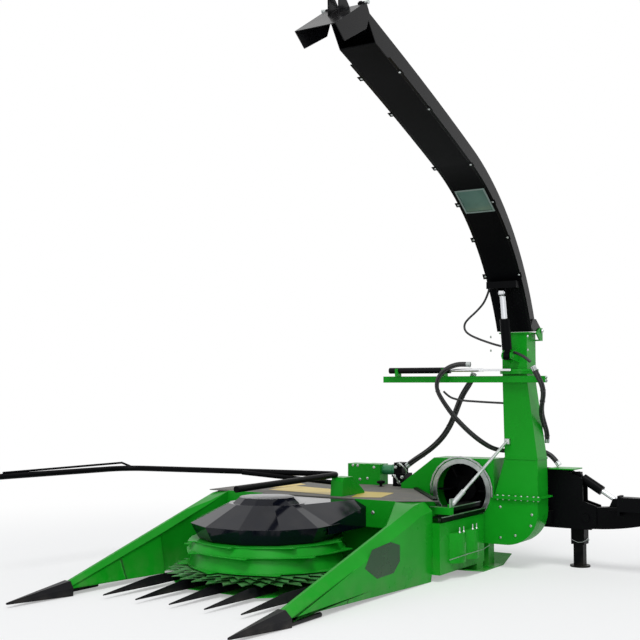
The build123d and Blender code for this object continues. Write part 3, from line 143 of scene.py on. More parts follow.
def piece(name, mesh, body, material, bevel=0.0, smooth=40):
    """Makes an object of the mesh that rides on a body."""
    bmesh.ops.recalc_face_normals(mesh, faces=mesh.faces[:])
    data = bpy.data.meshes.new(name)
    mesh.to_mesh(data)
    mesh.free()
    obj = bpy.data.objects.new(name, data)
    bpy.context.collection.objects.link(obj)
    data.materials.append(material)
    if bevel:
        edge = obj.modifiers.new("edges", "BEVEL")
        edge.width = bevel
        edge.segments = 2
        edge.limit_method = "ANGLE"
    data.shade_smooth()
    data.set_sharp_from_angle(angle=math.radians(smooth))
    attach(obj, body)
    return obj


# Shader groups that several finishes share
def group(name, inputs, outputs):
    """A shader group with named inputs and outputs, and its two end nodes."""
    tree = bpy.data.node_groups.new(name, "ShaderNodeTree")
    for label, kind, value in inputs:
        socket = tree.interface.new_socket(label, in_out="INPUT", socket_type=kind)
        socket.default_value = value
    for label, kind in outputs:
        tree.interface.new_socket(label, in_out="OUTPUT", socket_type=kind)
    start = tree.nodes.new("NodeGroupInput")
    end = tree.nodes.new("NodeGroupOutput")
    return tree, start, end


def node(tree, kind, links=None, **values):
    """A node with its settings, and its inputs set to values or joined to sockets."""
    made = tree.nodes.new(kind)
    for key, value in values.items():
        setattr(made, key, value)
    for key, value in (links or {}).items():
        if isinstance(value, bpy.types.NodeSocket):
            tree.links.new(value, made.inputs[key])
        else:
            made.inputs[key].default_value = value
    return made


FLOAT = "NodeSocketFloat"
VECTOR = "NodeSocketVector"


def make_mottle_group():
    """Slow change over a surface, from 0 to 1, with a finer change in it."""
    tree, start, end = group(
        "finish_mottle", [("Scale", FLOAT, 3.0), ("Contrast", FLOAT, 0.5)], [("Value", FLOAT)]
    )
    place = node(tree, "ShaderNodeTexCoord").outputs["Object"]
    noise = node(
        tree, "ShaderNodeTexNoise",
        {"Vector": place, "Scale": start.outputs["Scale"], "Detail": 6.0, "Roughness": 0.55},
    )
    low = node(tree, "ShaderNodeMath", {0: 0.5, 1: start.outputs["Contrast"]}, operation="SUBTRACT")
    high = node(tree, "ShaderNodeMath", {0: 0.5, 1: start.outputs["Contrast"]}, operation="ADD")
    spread = node(
        tree, "ShaderNodeMapRange",
        {"Value": noise.outputs["Fac"], "From Min": low.outputs[0], "From Max": high.outputs[0]},
    )
    tree.links.new(spread.outputs[0], end.inputs["Value"])
    return tree


def make_edge_group():
    """Rounded normals, and a mask of worn edges broken up by noise."""
    tree, start, end = group(
        "rounded_edges",
        [("Radius", FLOAT, 0.003), ("Wear", FLOAT, 0.5)],
        [("Mask", FLOAT), ("Normal", VECTOR)],
    )
    rounded = node(tree, "ShaderNodeBevel", {"Radius": start.outputs["Radius"]}, samples=4)
    true = node(tree, "ShaderNodeNewGeometry").outputs["Normal"]
    match = node(
        tree, "ShaderNodeVectorMath", {0: rounded.outputs[0], 1: true}, operation="DOT_PRODUCT"
    )
    bent = node(
        tree, "ShaderNodeMapRange",
        {"Value": match.outputs["Value"], "From Min": 0.97, "From Max": 0.75},
    )
    place = node(tree, "ShaderNodeTexCoord").outputs["Object"]
    noise = node(tree, "ShaderNodeTexNoise", {"Vector": place, "Scale": 38.0, "Detail": 5.0})
    broken = node(
        tree, "ShaderNodeMapRange",
        {"Value": noise.outputs["Fac"], "From Min": 0.5, "From Max": 0.62},
    )
    worn = node(tree, "ShaderNodeMath", {0: bent.outputs[0], 1: broken.outputs[0]}, operation="MULTIPLY")
    mask = node(
        tree, "ShaderNodeMath", {0: worn.outputs[0], 1: start.outputs["Wear"]}, operation="MULTIPLY"
    )
    tree.links.new(mask.outputs[0], end.inputs["Mask"])
    tree.links.new(rounded.outputs[0], end.inputs["Normal"])
    return tree


def make_dust_group():
    """Mask of dust that lies on faces turned up and of soil near the ground."""
    tree, start, end = group(
        "dust_and_soil",
        [("On Top", FLOAT, 0.3), ("Near Ground", FLOAT, 0.4), ("Height", FLOAT, 0.25)],
        [("Mask", FLOAT)],
    )
    normal = node(tree, "ShaderNodeNewGeometry").outputs["Normal"]
    facing = node(tree, "ShaderNodeSeparateXYZ", {0: normal})
    top = node(
        tree, "ShaderNodeMapRange", {"Value": facing.outputs["Z"], "From Min": 0.6, "From Max": 1.0}
    )
    place = node(tree, "ShaderNodeTexCoord").outputs["Object"]
    height = node(tree, "ShaderNodeSeparateXYZ", {0: place})
    ground = node(
        tree, "ShaderNodeMapRange",
        {"Value": height.outputs["Z"], "From Min": start.outputs["Height"], "From Max": 0.0},
    )
    noise = node(tree, "ShaderNodeTexNoise", {"Vector": place, "Scale": 9.0, "Detail": 8.0})
    cloud = node(
        tree, "ShaderNodeMapRange",
        {"Value": noise.outputs["Fac"], "From Min": 0.4, "From Max": 0.75},
    )
    on_top = node(
        tree, "ShaderNodeMath", {0: top.outputs[0], 1: start.outputs["On Top"]}, operation="MULTIPLY"
    )
    low = node(
        tree, "ShaderNodeMath", {0: ground.outputs[0], 1: start.outputs["Near Ground"]},
        operation="MULTIPLY",
    )
    both = node(tree, "ShaderNodeMath", {0: on_top.outputs[0], 1: low.outputs[0]}, operation="ADD")
    mask = node(
        tree, "ShaderNodeMath", {0: both.outputs[0], 1: cloud.outputs[0]},
        operation="MULTIPLY", use_clamp=True,
    )
    tree.links.new(mask.outputs[0], end.inputs["Mask"])
    return tree


def make_grain_group():
    """Fine bump: orange peel of paint, grain of rubber, or pits of worn steel."""
    tree, start, end = group(
        "fine_grain",
        [("Scale", FLOAT, 200.0), ("Strength", FLOAT, 0.1), ("Normal", VECTOR, (0, 0, 0))],
        [("Normal", VECTOR)],
    )
    place = node(tree, "ShaderNodeTexCoord").outputs["Object"]
    noise = node(
        tree, "ShaderNodeTexNoise", {"Vector": place, "Scale": start.outputs["Scale"], "Detail": 3.0}
    )
    bump = node(
        tree, "ShaderNodeBump",
        {
            "Strength": start.outputs["Strength"], "Distance": 0.002,
            "Height": noise.outputs["Fac"], "Normal": start.outputs["Normal"],
        },
    )
    tree.links.new(bump.outputs[0], end.inputs["Normal"])
    return tree


MOTTLE = make_mottle_group()
EDGES = make_edge_group()
DUST = make_dust_group()
GRAIN = make_grain_group()


def mix(tree, factor, first, second):
    """Mixes two colours, given as values or sockets."""
    made = node(tree, "ShaderNodeMix", data_type="RGBA")
    for index, value in ((0, factor), (6, first), (7, second)):
        if isinstance(value, bpy.types.NodeSocket):
            tree.links.new(value, made.inputs[index])
        elif index:
            made.inputs[index].default_value = (*value, 1)
        else:
            made.inputs[index].default_value = value
    return made.outputs[2]


def use(tree, made_group, **inputs):
    """Places a group in a material."""
    made = node(tree, "ShaderNodeGroup", node_tree=made_group)
    for key, value in inputs.items():
        socket = made.inputs[key.replace("_", " ")]
        if isinstance(value, bpy.types.NodeSocket):
            tree.links.new(value, socket)
        else:
            socket.default_value = value
    return made


edge_radius = 0.003
edge_metal = 0.8         # how far a worn edge of paint shows the metal
coat_rough = 0.08
dust_colour = (0.35, 0.31, 0.25)


def finish_material(
    name, deep, pale, worn, rough, metal=0.0, coat=0.0, shine=0.5, wear=0.5, dust=0.25, soil=0.45,
    soil_height=0.22, grain=(260.0, 0.05), mottle=(2.5, 0.3), rough_span=0.08,
):
    """A painted, plated or bare finish with mottle, worn edges, dust and grain."""
    material = bpy.data.materials.new(name)
    material.use_nodes = True
    tree = material.node_tree
    shader = tree.nodes["Principled BSDF"]
    change = use(tree, MOTTLE, Scale=mottle[0], Contrast=mottle[1]).outputs["Value"]
    edges = use(tree, EDGES, Radius=edge_radius, Wear=wear)
    dirt = use(tree, DUST, On_Top=dust, Near_Ground=soil, Height=soil_height).outputs["Mask"]
    base = mix(tree, change, deep, pale)
    base = mix(tree, edges.outputs["Mask"], base, worn)
    base = mix(tree, dirt, base, dust_colour)
    tree.links.new(base, shader.inputs["Base Color"])
    roughness = node(
        tree, "ShaderNodeMapRange", {"Value": change, "To Min": rough, "To Max": rough + rough_span}
    )
    dusty = node(
        tree, "ShaderNodeMath", {0: dirt, 1: 0.5, 2: roughness.outputs[0]}, operation="MULTIPLY_ADD"
    )
    tree.links.new(dusty.outputs[0], shader.inputs["Roughness"])
    if metal == 0.0 and wear > 0:
        bare = node(
            tree, "ShaderNodeMath", {0: edges.outputs["Mask"], 1: edge_metal}, operation="MULTIPLY"
        )
        tree.links.new(bare.outputs[0], shader.inputs["Metallic"])
    else:
        shader.inputs["Metallic"].default_value = metal
    shader.inputs["Specular IOR Level"].default_value = shine
    shader.inputs["Coat Weight"].default_value = coat
    shader.inputs["Coat Roughness"].default_value = coat_rough
    bumped = use(
        tree, GRAIN, Scale=grain[0], Strength=grain[1], Normal=edges.outputs["Normal"]
    )
    tree.links.new(bumped.outputs[0], shader.inputs["Normal"])
    return material


GREEN = finish_material(
    "green_paint", (0.004, 0.24, 0.008), (0.008, 0.33, 0.016), (0.12, 0.30, 0.12), 0.24,
    shine=0.12, wear=0.35, dust=0.05, soil=0.15,
)
DRUM_GREEN = finish_material(
    "drum_green_paint", (0.004, 0.25, 0.010), (0.010, 0.34, 0.020), (0.25, 0.40, 0.24), 0.28,
    shine=0.15, wear=0.7, dust=0.05, soil=0.1, mottle=(5.0, 0.25),
)
BLACK = finish_material(
    "black_paint", (0.0012, 0.0013, 0.0017), (0.0026, 0.0027, 0.0034), (0.03, 0.03, 0.03), 0.32,
    shine=0.05, wear=0.35, dust=0.02, soil=0.1,
)
SPOUT_BLACK = finish_material(
    "spout_black_lacquer", (0.0012, 0.0013, 0.0018), (0.0028, 0.0029, 0.0037), (0.04, 0.04, 0.04), 0.20,
    shine=0.12, wear=0.3, dust=0.04, soil=0.0, grain=(60.0, 0.03),
)
DOME_BLACK = finish_material(
    "dome_black_lacquer", (0.002, 0.003, 0.007), (0.004, 0.005, 0.011), (0.06, 0.06, 0.07), 0.08,
    shine=0.2, wear=0.25, dust=0.03, soil=0.0, grain=(30.0, 0.02), mottle=(3.0, 0.25),
)
NOSE_BLACK = finish_material(
    "nose_cap_black", (0.003, 0.003, 0.004), (0.007, 0.007, 0.009), (0.07, 0.07, 0.07), 0.34,
    shine=0.15, wear=0.6, dust=0.03, soil=0.12, soil_height=0.06, grain=(120.0, 0.12),
)
DECK_GREY = finish_material(
    "deck_grip_coat", (0.085, 0.082, 0.075), (0.14, 0.135, 0.125), (0.3, 0.29, 0.27), 0.62,
    wear=0.4, dust=0.35, soil=0.0, grain=(420.0, 0.5), mottle=(4.0, 0.3),
)
LABEL_YELLOW = finish_material(
    "blank_yellow_plate", (0.60, 0.42, 0.05), (0.70, 0.52, 0.10), (0.5, 0.45, 0.3), 0.35,
    wear=0.2, dust=0.2, soil=0.0, grain=(90.0, 0.05),
)
# Dark green that paints shade on a patch of the near divider's outer face
PAINTED_SHADE_GREEN = finish_material(
    "painted_shade_patch", (0.002, 0.035, 0.006), (0.004, 0.055, 0.010), (0.05, 0.1, 0.05), 0.22,
    shine=0.3, wear=0.0, dust=0.02, soil=0.1, grain=(90.0, 0.03),
)
FRAME_GREY = finish_material(
    "window_frame_grey", (0.14, 0.19, 0.17), (0.20, 0.26, 0.24), (0.3, 0.3, 0.3), 0.35,
    shine=0.3, wear=0.2, dust=0.05, soil=0.0,
)
ZINC = finish_material(
    "zinc_plate", (0.42, 0.45, 0.45), (0.62, 0.66, 0.64), (0.7, 0.7, 0.7), 0.28,
    metal=1.0, wear=0.3, dust=0.1, soil=0.2, mottle=(14.0, 0.2), grain=(160.0, 0.15),
)
STEEL = finish_material(
    "worn_blade_steel", (0.22, 0.22, 0.21), (0.44, 0.44, 0.43), (0.75, 0.75, 0.75), 0.3,
    metal=1.0, wear=0.9, dust=0.15, soil=0.25, mottle=(9.0, 0.25), grain=(200.0, 0.3),
)
KNIFE_GREEN = finish_material(
    "knife_green", (0.01, 0.12, 0.012), (0.05, 0.26, 0.06), (0.5, 0.52, 0.5), 0.4,
    wear=1.0, dust=0.1, soil=0.15, mottle=(12.0, 0.15),
)
CHROME = finish_material(
    "chrome_rod", (0.72, 0.73, 0.75), (0.80, 0.81, 0.83), (0.85, 0.85, 0.86), 0.08,
    metal=1.0, wear=0.0, dust=0.05, soil=0.1, grain=(300.0, 0.02), rough_span=0.05,
)
HOSE = finish_material(
    "hose_rubber", (0.008, 0.008, 0.009), (0.020, 0.020, 0.021), (0.05, 0.05, 0.05), 0.42,
    wear=0.0, dust=0.2, soil=0.2, grain=(700.0, 0.35), mottle=(20.0, 0.3),
)
MOTOR_TEAL = finish_material(
    "motor_teal_paint", (0.008, 0.16, 0.055), (0.02, 0.22, 0.08), (0.3, 0.3, 0.3), 0.3,
    coat=0.3, wear=0.5, dust=0.15, soil=0.0,
)


def make_window_material():
    material = bpy.data.materials.new("tinted_window")
    material.use_nodes = True
    tree = material.node_tree
    shader = tree.nodes["Principled BSDF"]
    change = use(tree, MOTTLE, Scale=9.0, Contrast=0.3).outputs["Value"]
    tree.links.new(mix(tree, change, (0.05, 0.11, 0.09), (0.09, 0.17, 0.14)), shader.inputs["Base Color"])
    shader.inputs["Roughness"].default_value = 0.12
    shader.inputs["Coat Weight"].default_value = 0.5
    return material


WINDOW = make_window_material()

node_materials = {
    GREEN: [
        "header_pan", "header_back", "chopper_housing", "chopper_front", "feed_channel", "feed_skid",
        "tower_base", "tower", "cross_bar", "spout_base", "front_panels", "divider_arm", "rear_plate",
        "drum_gearbox", "guide_bracket",
    ],
    DRUM_GREEN: ["gathering_drum", "drum_hooks"],
    KNIFE_GREEN: ["knife_rotor"],
    # The chopper wheel is steel; it takes the black paint as painted shade for the dark inside of the inlet
    # ring
    BLACK: [
        "deck_edge_bar", "guide_bar", "spout_belly", "spout_yoke", "rear_frame", "parking_leg", "main_beam",
        "headstock", "pto_gearbox", "fold_tube", "tilt_tube", "valve_block", "chopper_wheel",
    ],
    SPOUT_BLACK: [
        "spout_back", "spout_side_left", "spout_side_right", "flap", "flap_lugs", "flap_tube",
        "turn_cylinder",
    ],
    DOME_BLACK: ["drum_cover"],
    NOSE_BLACK: ["nose_cap_left", "nose_cap_right", "stalk_fingers"],
    DECK_GREY: ["header_deck"],
    ZINC: ["inlet_ring", "strut"],
    STEEL: ["pto_shaft"],
    CHROME: ["turn_rod", "fold_rod", "flap_rod", "tilt_rod"],
    WINDOW: ["spout_window"],
    MOTOR_TEAL: ["drum_motor"],
}
for finish, finished_nodes in node_materials.items():
    for node_name in finished_nodes:
        for material_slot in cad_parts[node_name].material_slots:
            material_slot.material = finish


# Hoses along the routes of the CAD tubes, in metres
valve_hoses = [
    (0.2453, 1.550, 0.706),
    (0.319, 1.551, 0.758),
    (0.405, 1.546, 0.807),
    (0.486, 1.540, 0.863),
    (0.571, 1.530, 0.937),
    (0.640, 1.510, 1.019),
    (0.690, 1.490, 1.099),
    (0.728, 1.474, 1.170),
    (0.765, 1.462, 1.241),
    (0.806, 1.450, 1.302),
    (0.857, 1.447, 1.372),
    (0.886, 1.441, 1.436),
]
tractor_hoses = [
    (0.905, 1.345, 1.500),
    (0.860, 1.334, 1.503),
    (0.812, 1.312, 1.502),
    (0.752, 1.280, 1.480),
    (0.690, 1.268, 1.430),
    (0.660, 1.266, 1.368),
    (0.662, 1.270, 1.305),
    (0.690, 1.285, 1.245),
    (0.722, 1.308, 1.185),
    (0.756, 1.332, 1.128),
    (0.797, 1.365, 1.070),
    (0.856, 1.420, 0.992),
    (0.917, 1.490, 0.922),
    (0.982, 1.575, 0.863),
    (1.070, 1.645, 0.846),
    (1.180, 1.690, 0.855),
    (1.280, 1.708, 0.862),
    (1.362, 1.714, 0.836),
    (1.410, 1.722, 0.796),
    (1.442, 1.732, 0.7472),
]
tower_hose = [
    (0.700, 1.302, 1.300),
    (0.730, 1.330, 1.259),
    (0.772, 1.366, 1.240),
    (0.829, 1.398, 1.229),
    (0.915, 1.418, 1.224),
    (1.000, 1.432, 1.219),
    (1.064, 1.444, 1.216),
    (1.137, 1.455, 1.213),
]
fold_hose = [
    (1.1098, 1.234, 2.050),
    (1.070, 1.262, 1.969),
    (0.996, 1.275, 1.897),
    (0.917, 1.285, 1.840),
    (0.881, 1.290, 1.802),
    (0.882, 1.290, 1.757),
    (0.918, 1.287, 1.722),
    (1.000, 1.277, 1.687),
    (1.090, 1.267, 1.657),
    (1.140, 1.261, 1.642),
    (1.187, 1.256, 1.630),
]
collar_hoses = [
    (1.2736, 1.290, 1.584),
    (1.350, 1.268, 1.566),
    (1.410, 1.260, 1.514),
]
tower_hoses = [
    (1.425, 1.262, 1.484),
    (1.455, 1.275, 1.420),
    (1.483, 1.292, 1.354),
    (1.480, 1.330, 1.288),
    (1.440, 1.400, 1.213),
    (1.402, 1.480, 1.140),
    (1.394, 1.560, 1.060),
    (1.390, 1.630, 0.985),
    (1.372, 1.668, 0.925),
]


def route_curve(name, points, width):
    """One open NURBS spline with the route's points as its control points."""
    data = bpy.data.curves.new(name, "CURVE")
    data.dimensions = "3D"
    data.bevel_depth = width / 2
    data.bevel_resolution = 4
    data.resolution_u = 8
    spline = data.splines.new("NURBS")
    spline.points.add(len(points) - 1)
    for place, point in zip(spline.points, points):
        place.co = (*point, 1)
    spline.order_u = 3
    spline.use_endpoint_u = True
    obj = bpy.data.objects.new(name, data)
    bpy.context.collection.objects.link(obj)
    return obj


def route_line(points):
    """The points along a route's spline, read from the curve itself."""
    curve = route_curve("route", points, 0)
    drawn = bpy.data.meshes.new_from_object(curve)
    line = [v.co.copy() for v in drawn.vertices]
    bpy.data.meshes.remove(drawn)
    bpy.data.objects.remove(curve)
    return line


def line_length(line):
    return sum((b - a).length for a, b in zip(line, line[1:]))


def single_hose(name, points, width, body):
    """One hose along a route that stands for its CAD tube."""
    length = line_length(route_line(points))
    obj = route_curve(f"{name}_line", points, width)
    obj.data.use_fill_caps = True
    obj.data.materials.append(HOSE)
    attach(obj, body)
    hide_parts(name)


def strand_tracks(line, count, reach, turns):
    """Tracks of hoses that wind slowly round a shared line, at a reach from it."""
    length = line_length(line)
    across = axes_of(line[1] - line[0])[0]
    tracks = [[] for _ in range(count)]
    run = 0.0
    for i, point in enumerate(line):
        ahead, behind = line[min(i + 1, len(line) - 1)], line[max(i - 1, 0)]
        along = (ahead - behind).normalized()
        across = (across - along * across.dot(along)).normalized()
        other = along.cross(across)
        if i:
            run += (point - line[i - 1]).length
        for k in range(count):
            a = 2 * math.pi * (k / count + turns * run / length)
            tracks[k].append(point + (across * math.cos(a) + other * math.sin(a)) * reach)
    return tracks


def add_cable_ties(mesh, line, width):
    """Flat ties at even steps round a bundle."""
    inner, outer, band = width * 0.47, width * 0.50, 0.007
    profile = [(inner, 0), (outer, 0.001), (outer, band - 0.001), (inner, band)]
    for i in range(len(line) // 7, len(line) - 4, max(len(line) // 6, 4)):
        add_turned(mesh, line[i], line[i + 1] - line[i], profile, 20)


def add_hose_end(mesh, place, along, radius):
    """The pressed sleeve and the collar at the end of a hose."""
    profile = [
        (radius * 0.7, 0), (radius * 1.15, 0.002), (radius * 1.15, 0.016), (radius * 1.02, 0.018),
        (radius * 1.08, 0.034), (radius * 1.02, 0.036),
    ]
    add_turned(mesh, place, along, profile, 12)


def hose_bundle(name, points, width, body, count):
    """Hoses side by side round a shared line, which together make one piece."""
    line = route_line(points)
    strand = width / 2 * math.sin(math.pi / count) / (1 + math.sin(math.pi / count))
    reach = width / 2 - strand
    tracks = strand_tracks(line, count, reach, turns=0.4)
    mesh = bmesh.new()
    for track in tracks:
        add_tube(mesh, track, strand, 12)
    add_tube(mesh, line, reach * 0.9, 10)
    add_cable_ties(mesh, line, width)
    obj = piece(f"{name}_bundle", mesh, body, HOSE)
    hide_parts(name)
    ends = bmesh.new()
    for track in tracks:
        add_hose_end(ends, track[0], track[2] - track[0], strand)
        add_hose_end(ends, track[-1], track[-3] - track[-1], strand)
    fittings = piece(f"{name}_fittings", ends, body, ZINC)


thin_hose = 0.016
hose_bundle("valve_hoses", valve_hoses, 0.046, "harvester", 5)
hose_bundle("tractor_hoses", tractor_hoses, 0.038, "harvester", 4)
single_hose("tower_hose", tower_hose, thin_hose, "harvester")
single_hose("fold_hose", fold_hose, thin_hose, "spout_base")
single_hose("collar_hoses", collar_hoses, 0.022, "spout_base")
hose_bundle("tower_hoses", tower_hoses, 0.040, "harvester", 4)


# Dividers: a narrow folded ridge, which widens into a flat facet at the knee
sheet = 0.004
nose_y = -1.030
knee_y = 0.560
facet_y = 0.450          # behind this the inner edge of the top is as high as the deck
nose_height = 0.092
deck_low_z = 0.545
deck_top_z = 0.551
nose_face_x = 0.905      # outer face at the nose and at the knee
knee_face_x = 0.930
ridge_bevel = 0.062
foot_inset = 0.014       # the strip under the outer fold leans in by this much
low_fold = 0.004         # height of the outer fold over the lower edge at the nose
low_fold_rise = 0.052    # and how it grows per metre behind the nose
lower_slope = 0.0275
lower_end_y = 0.680      # the lower edge comes down to the floor about here
lower_drop = 0.0008


def along_divider(y, at_nose, at_knee):
    """A value that changes evenly from the nose to the knee and stays from there on."""
    return at_nose + (at_knee - at_nose) * (min(y, knee_y) - nose_y) / (knee_y - nose_y)


def outer_face(y):
    return along_divider(y, nose_face_x, knee_face_x)


def ridge_height(y):
    return along_divider(y, nose_height, deck_low_z)


def lower_edge(y):
    return lower_slope * (lower_end_y - y) - lower_drop


# place along Y, inner top edge, inner lower edge, width of the bevel inside the ridge
divider_folds = [
    (nose_y, 0.823, 0.795, 0.024),
    (-0.160, 0.836, 0.768, 0.034),
    (-0.152, 0.836, 0.832, 0.034),
    (0.165, 0.842, 0.838, 0.034),
    (0.360, 0.771, 0.769, 0.012),
    (0.500, 0.720, 0.722, 0.001),
    (0.650, 0.720, 0.722, 0.001),
]


def divider_outline(y, inner_top, inner_low, bevel, inset):
    """One section of a divider, from its outer lower edge over the ridge to the inner one."""
    face = outer_face(y)
    ridge = ridge_height(y)
    inner_ridge = (deck_low_z if y > facet_y else ridge) - inset
    low = lower_edge(y)
    fold = low + low_fold + low_fold_rise * (y - nose_y)
    corner = inset * 0.4
    return [
        (face - inset - foot_inset, low),
        (face - inset, fold),
        (face - inset, ridge - ridge_bevel - corner),
        (face - ridge_bevel - corner, ridge - inset),
        (inner_top + corner, inner_ridge),
        (inner_top - bevel + inset, inner_ridge - bevel * 1.25),
        (inner_top - bevel * 0.7 + inset, inner_ridge - bevel * 1.4),
        (inner_low + inset, low),
    ]


def divider_ring(outline, side, y):
    return [Vector((side * x, y, z)) for x, z in outline]


def divider_shell(name, side):
    """The folded sheet of a divider with a closing plate at each end."""
    mesh = bmesh.new()
    rings = []
    for fold in divider_folds:
        section = divider_outline(*fold, 0) + divider_outline(*fold, sheet)[::-1]
        rings.append(divider_ring(section, side, fold[0]))
    add_rings(mesh, rings)
    for fold, depth in ((divider_folds[0], sheet), (divider_folds[-1], -sheet)):
        outline = divider_outline(*fold, 0.001)
        add_rings(mesh, [divider_ring(outline, side, fold[0] + step) for step in (0, depth)])
    shell = piece(f"{name}_shell", mesh, "harvester", GREEN, smooth=20)
    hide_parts(name)


# Blank plates on the deck, and a patch of painted shade on the near divider's outer face
# place in X and Y of each corner
plate_outlines = {
    "far_plate": [(-0.636, 0.779), (-0.595, 1.295), (-0.490, 1.225), (-0.507, 0.911)],
    "middle_plate": [(-0.498, 0.724), (-0.485, 1.074), (-0.121, 1.014), (0.114, 0.640)],
    "near_plate": [(0.319, 0.587), (0.185, 0.977), (0.435, 1.003), (0.513, 0.671)],
}
# place in Y and Z of each corner
painted_shade_outline = [
    (-0.247, 0.216), (-0.160, 0.321), (0.072, 0.342), (0.192, 0.308), (0.191, 0.206), (0.110, 0.140),
    (-0.098, 0.133),
]


def blank_deck_plates():
    low_z, high_z = deck_top_z - 0.0002, deck_top_z + 0.0012
    for name, outline in plate_outlines.items():
        mesh = bmesh.new()
        add_rings(mesh, [[Vector((x, y, z)) for x, y in outline] for z in (low_z, high_z)])
        piece(name, mesh, "harvester", LABEL_YELLOW)


# Painted shade: a dark green patch laid on the near divider's outer face
def add_painted_shade_patch():
    mesh = bmesh.new()
    rings = []
    for rise in (-0.0005, 0.001):
        rings.append([Vector((outer_face(y) + rise, y, z)) for y, z in painted_shade_outline])
    add_rings(mesh, rings)
    piece("divider_painted_shade", mesh, "harvester", PAINTED_SHADE_GREEN)


# Fasteners, by the body that they ride on
DOWN = -UP
FRONT = -Y


def fasteners(name, body, heads):
    """Hexagon heads, each with its place, direction, width and height."""
    mesh = bmesh.new()
    for place, direction, width, height in heads:
        add_bolt(mesh, place, direction, width, height)
    piece(name, mesh, body, ZINC)


def tower_flange_bolts():
    """A row of bolts through the tower's flange and the ledge under it."""
    ledge_low_z, flange_top_z = 0.513, 0.537
    heads = []
    for x in (1.092, 1.136, 1.183, 1.233, 1.278, 1.326, 1.372, 1.408):
        heads.append(((x, 1.387, flange_top_z), UP, 0.0070, 0.006))
        heads.append(((x, 1.384, ledge_low_z), DOWN, 0.0065, 0.006))
    fasteners("tower_flange_bolts", "harvester", heads)


def front_bolts():
    """Bolts in the chopper's front plate and in the panels beside the drum's cover."""
    chopper_face_y, panel_face_y = 1.394, 0.500
    heads = []
    for x, z in ((1.110, 0.453), (1.355, 0.411), (1.108, 0.230), (1.225, 0.253), (1.345, 0.330)):
        heads.append(((x, chopper_face_y, z), FRONT, 0.0075, 0.006))
    for x in (0.545, -0.545):
        heads.append(((x, panel_face_y, 0.464), FRONT, 0.010, 0.007))
    fasteners("front_bolts", "harvester", heads)


def bulge_studs():
    bulge_top_z = 0.318
    mesh = bmesh.new()
    for y in (0.870, 0.935, 1.085, 1.150):
        add_bolt(mesh, (1.030, y, bulge_top_z), UP, 0.009, 0.010, stud=0.028)
    piece("bulge_studs", mesh, "harvester", ZINC)


def tower_seam():
    """The band round the seam of the tower and its base."""
    left, right, front, back = 1.143, 1.404, 1.396, 1.594
    low_z, high_z, band = 0.804, 0.818, 0.004
    mesh = bmesh.new()
    for y in (front, back - band):
        add_block(mesh, (left, y, low_z), (right, y + band, high_z))
    for x in (left, right - band):
        add_block(mesh, (x, front + band, low_z), (x + band, back - band, high_z))
    piece("tower_seam", mesh, "harvester", GREEN, bevel=0.001)


# Zinc rim over the inlet ring, and dark guards with bright edges over the feed channel
wheel_x, wheel_z = 0.800, 0.556
rim_r = 0.246
rim_share = 1.05         # outer radius of the rim as a share of the inner one


def inlet_rim():
    first, sweep, steps = -8, 196, 12
    arc = []
    for i in range(steps + 1):
        a = math.radians(first + i * sweep / steps)
        arc.append((math.cos(a) * rim_r, math.sin(a) * rim_r))
    mesh = bmesh.new()
    for low, high in zip(arc, arc[1:]):
        outline = [low, high] + [(x * rim_share, z * rim_share) for x, z in (high, low)]
        rings = []
        for y in (1.376, 1.383):
            rings.append([Vector((wheel_x + x, y, wheel_z + z)) for x, z in outline])
        add_rings(mesh, rings)
    piece("inlet_rim", mesh, "harvester", ZINC)


def channel_guards():
    """Two folded sheets, one over the other, each with a bright strip along its edge."""
    guard_end_y = 1.370
    shelf, fold = 0.120, 0.004
    sheets = bmesh.new()
    edges = bmesh.new()
    for x, y, z in ((0.998, 0.660, 0.440), (0.967, 0.800, 0.488)):
        top_z = z - 0.002
        add_block(sheets, (x - shelf, y, top_z - fold), (x, guard_end_y, top_z))
        add_block(sheets, (x - fold, y, z - 0.030), (x, guard_end_y, top_z))
        add_block(edges, (x - fold, y, top_z), (x + 0.003, guard_end_y, z + 0.004))
    piece("channel_guards", sheets, "harvester", BLACK)
    piece("channel_guard_edges", edges, "harvester", ZINC)


def channel_lip():
    """The bright wire edge along the channel's outer side."""
    route = [(1.052, 0.662, 0.160), (1.056, 0.900, 0.165), (1.056, 1.200, 0.165), (1.030, 1.375, 0.172)]
    mesh = bmesh.new()
    add_tube(mesh, route, 0.003)
    piece("channel_lip", mesh, "harvester", ZINC)


def deck_knob():
    stem_r, grip_r, head_r = 0.012, 0.030, 0.034
    profile = [
        (stem_r, 0), (stem_r, 0.020), (grip_r, 0.024), (head_r, 0.034), (grip_r, 0.044), (stem_r, 0.048),
    ]
    mesh = bmesh.new()
    add_turned(mesh, (0.100, 1.400, deck_top_z), UP, profile, 20)
    piece("deck_knob", mesh, "harvester", BLACK, smooth=50)


def valve_and_box_bolts():
    """Fittings on the valve block and bolts in the two gear blocks beside it."""
    valve_face_y, box_face_y = 1.480, 1.500
    fittings = [(0.230, 0.722), (0.190, 0.700), (0.180, 0.630), (0.245, 0.625), (0.215, 0.585)]
    box_bolts = [
        (-0.171, 0.700), (-0.215, 0.700), (-0.150, 0.590), (-0.230, 0.590), (-0.020, 0.690),
        (-0.080, 0.600),
    ]
    heads = [((x, valve_face_y, z), FRONT, 0.010, 0.016) for x, z in fittings]
    heads += [((x, box_face_y, z), FRONT, 0.0085, 0.006) for x, z in box_bolts]
    fasteners("valve_and_box_bolts", "harvester", heads)


def valve_pipes():
    """Two short pipes that loop from the valve block's front to its side."""
    mesh = bmesh.new()
    for x, z, reach in ((0.230, 0.722, 0.052), (0.180, 0.630, 0.036)):
        route = [
            (x, 1.466, z),
            (x, 1.440, z + 0.004),
            (x + reach * 0.4, 1.428, z + 0.016),
            (x + reach, 1.436, z - 0.010),
            (x + reach * 1.2, 1.470, z - 0.050),
            (0.262, 1.500, z - 0.075),
        ]
        add_tube(mesh, route, 0.006)
    piece("valve_pipes", mesh, "harvester", ZINC, smooth=60)


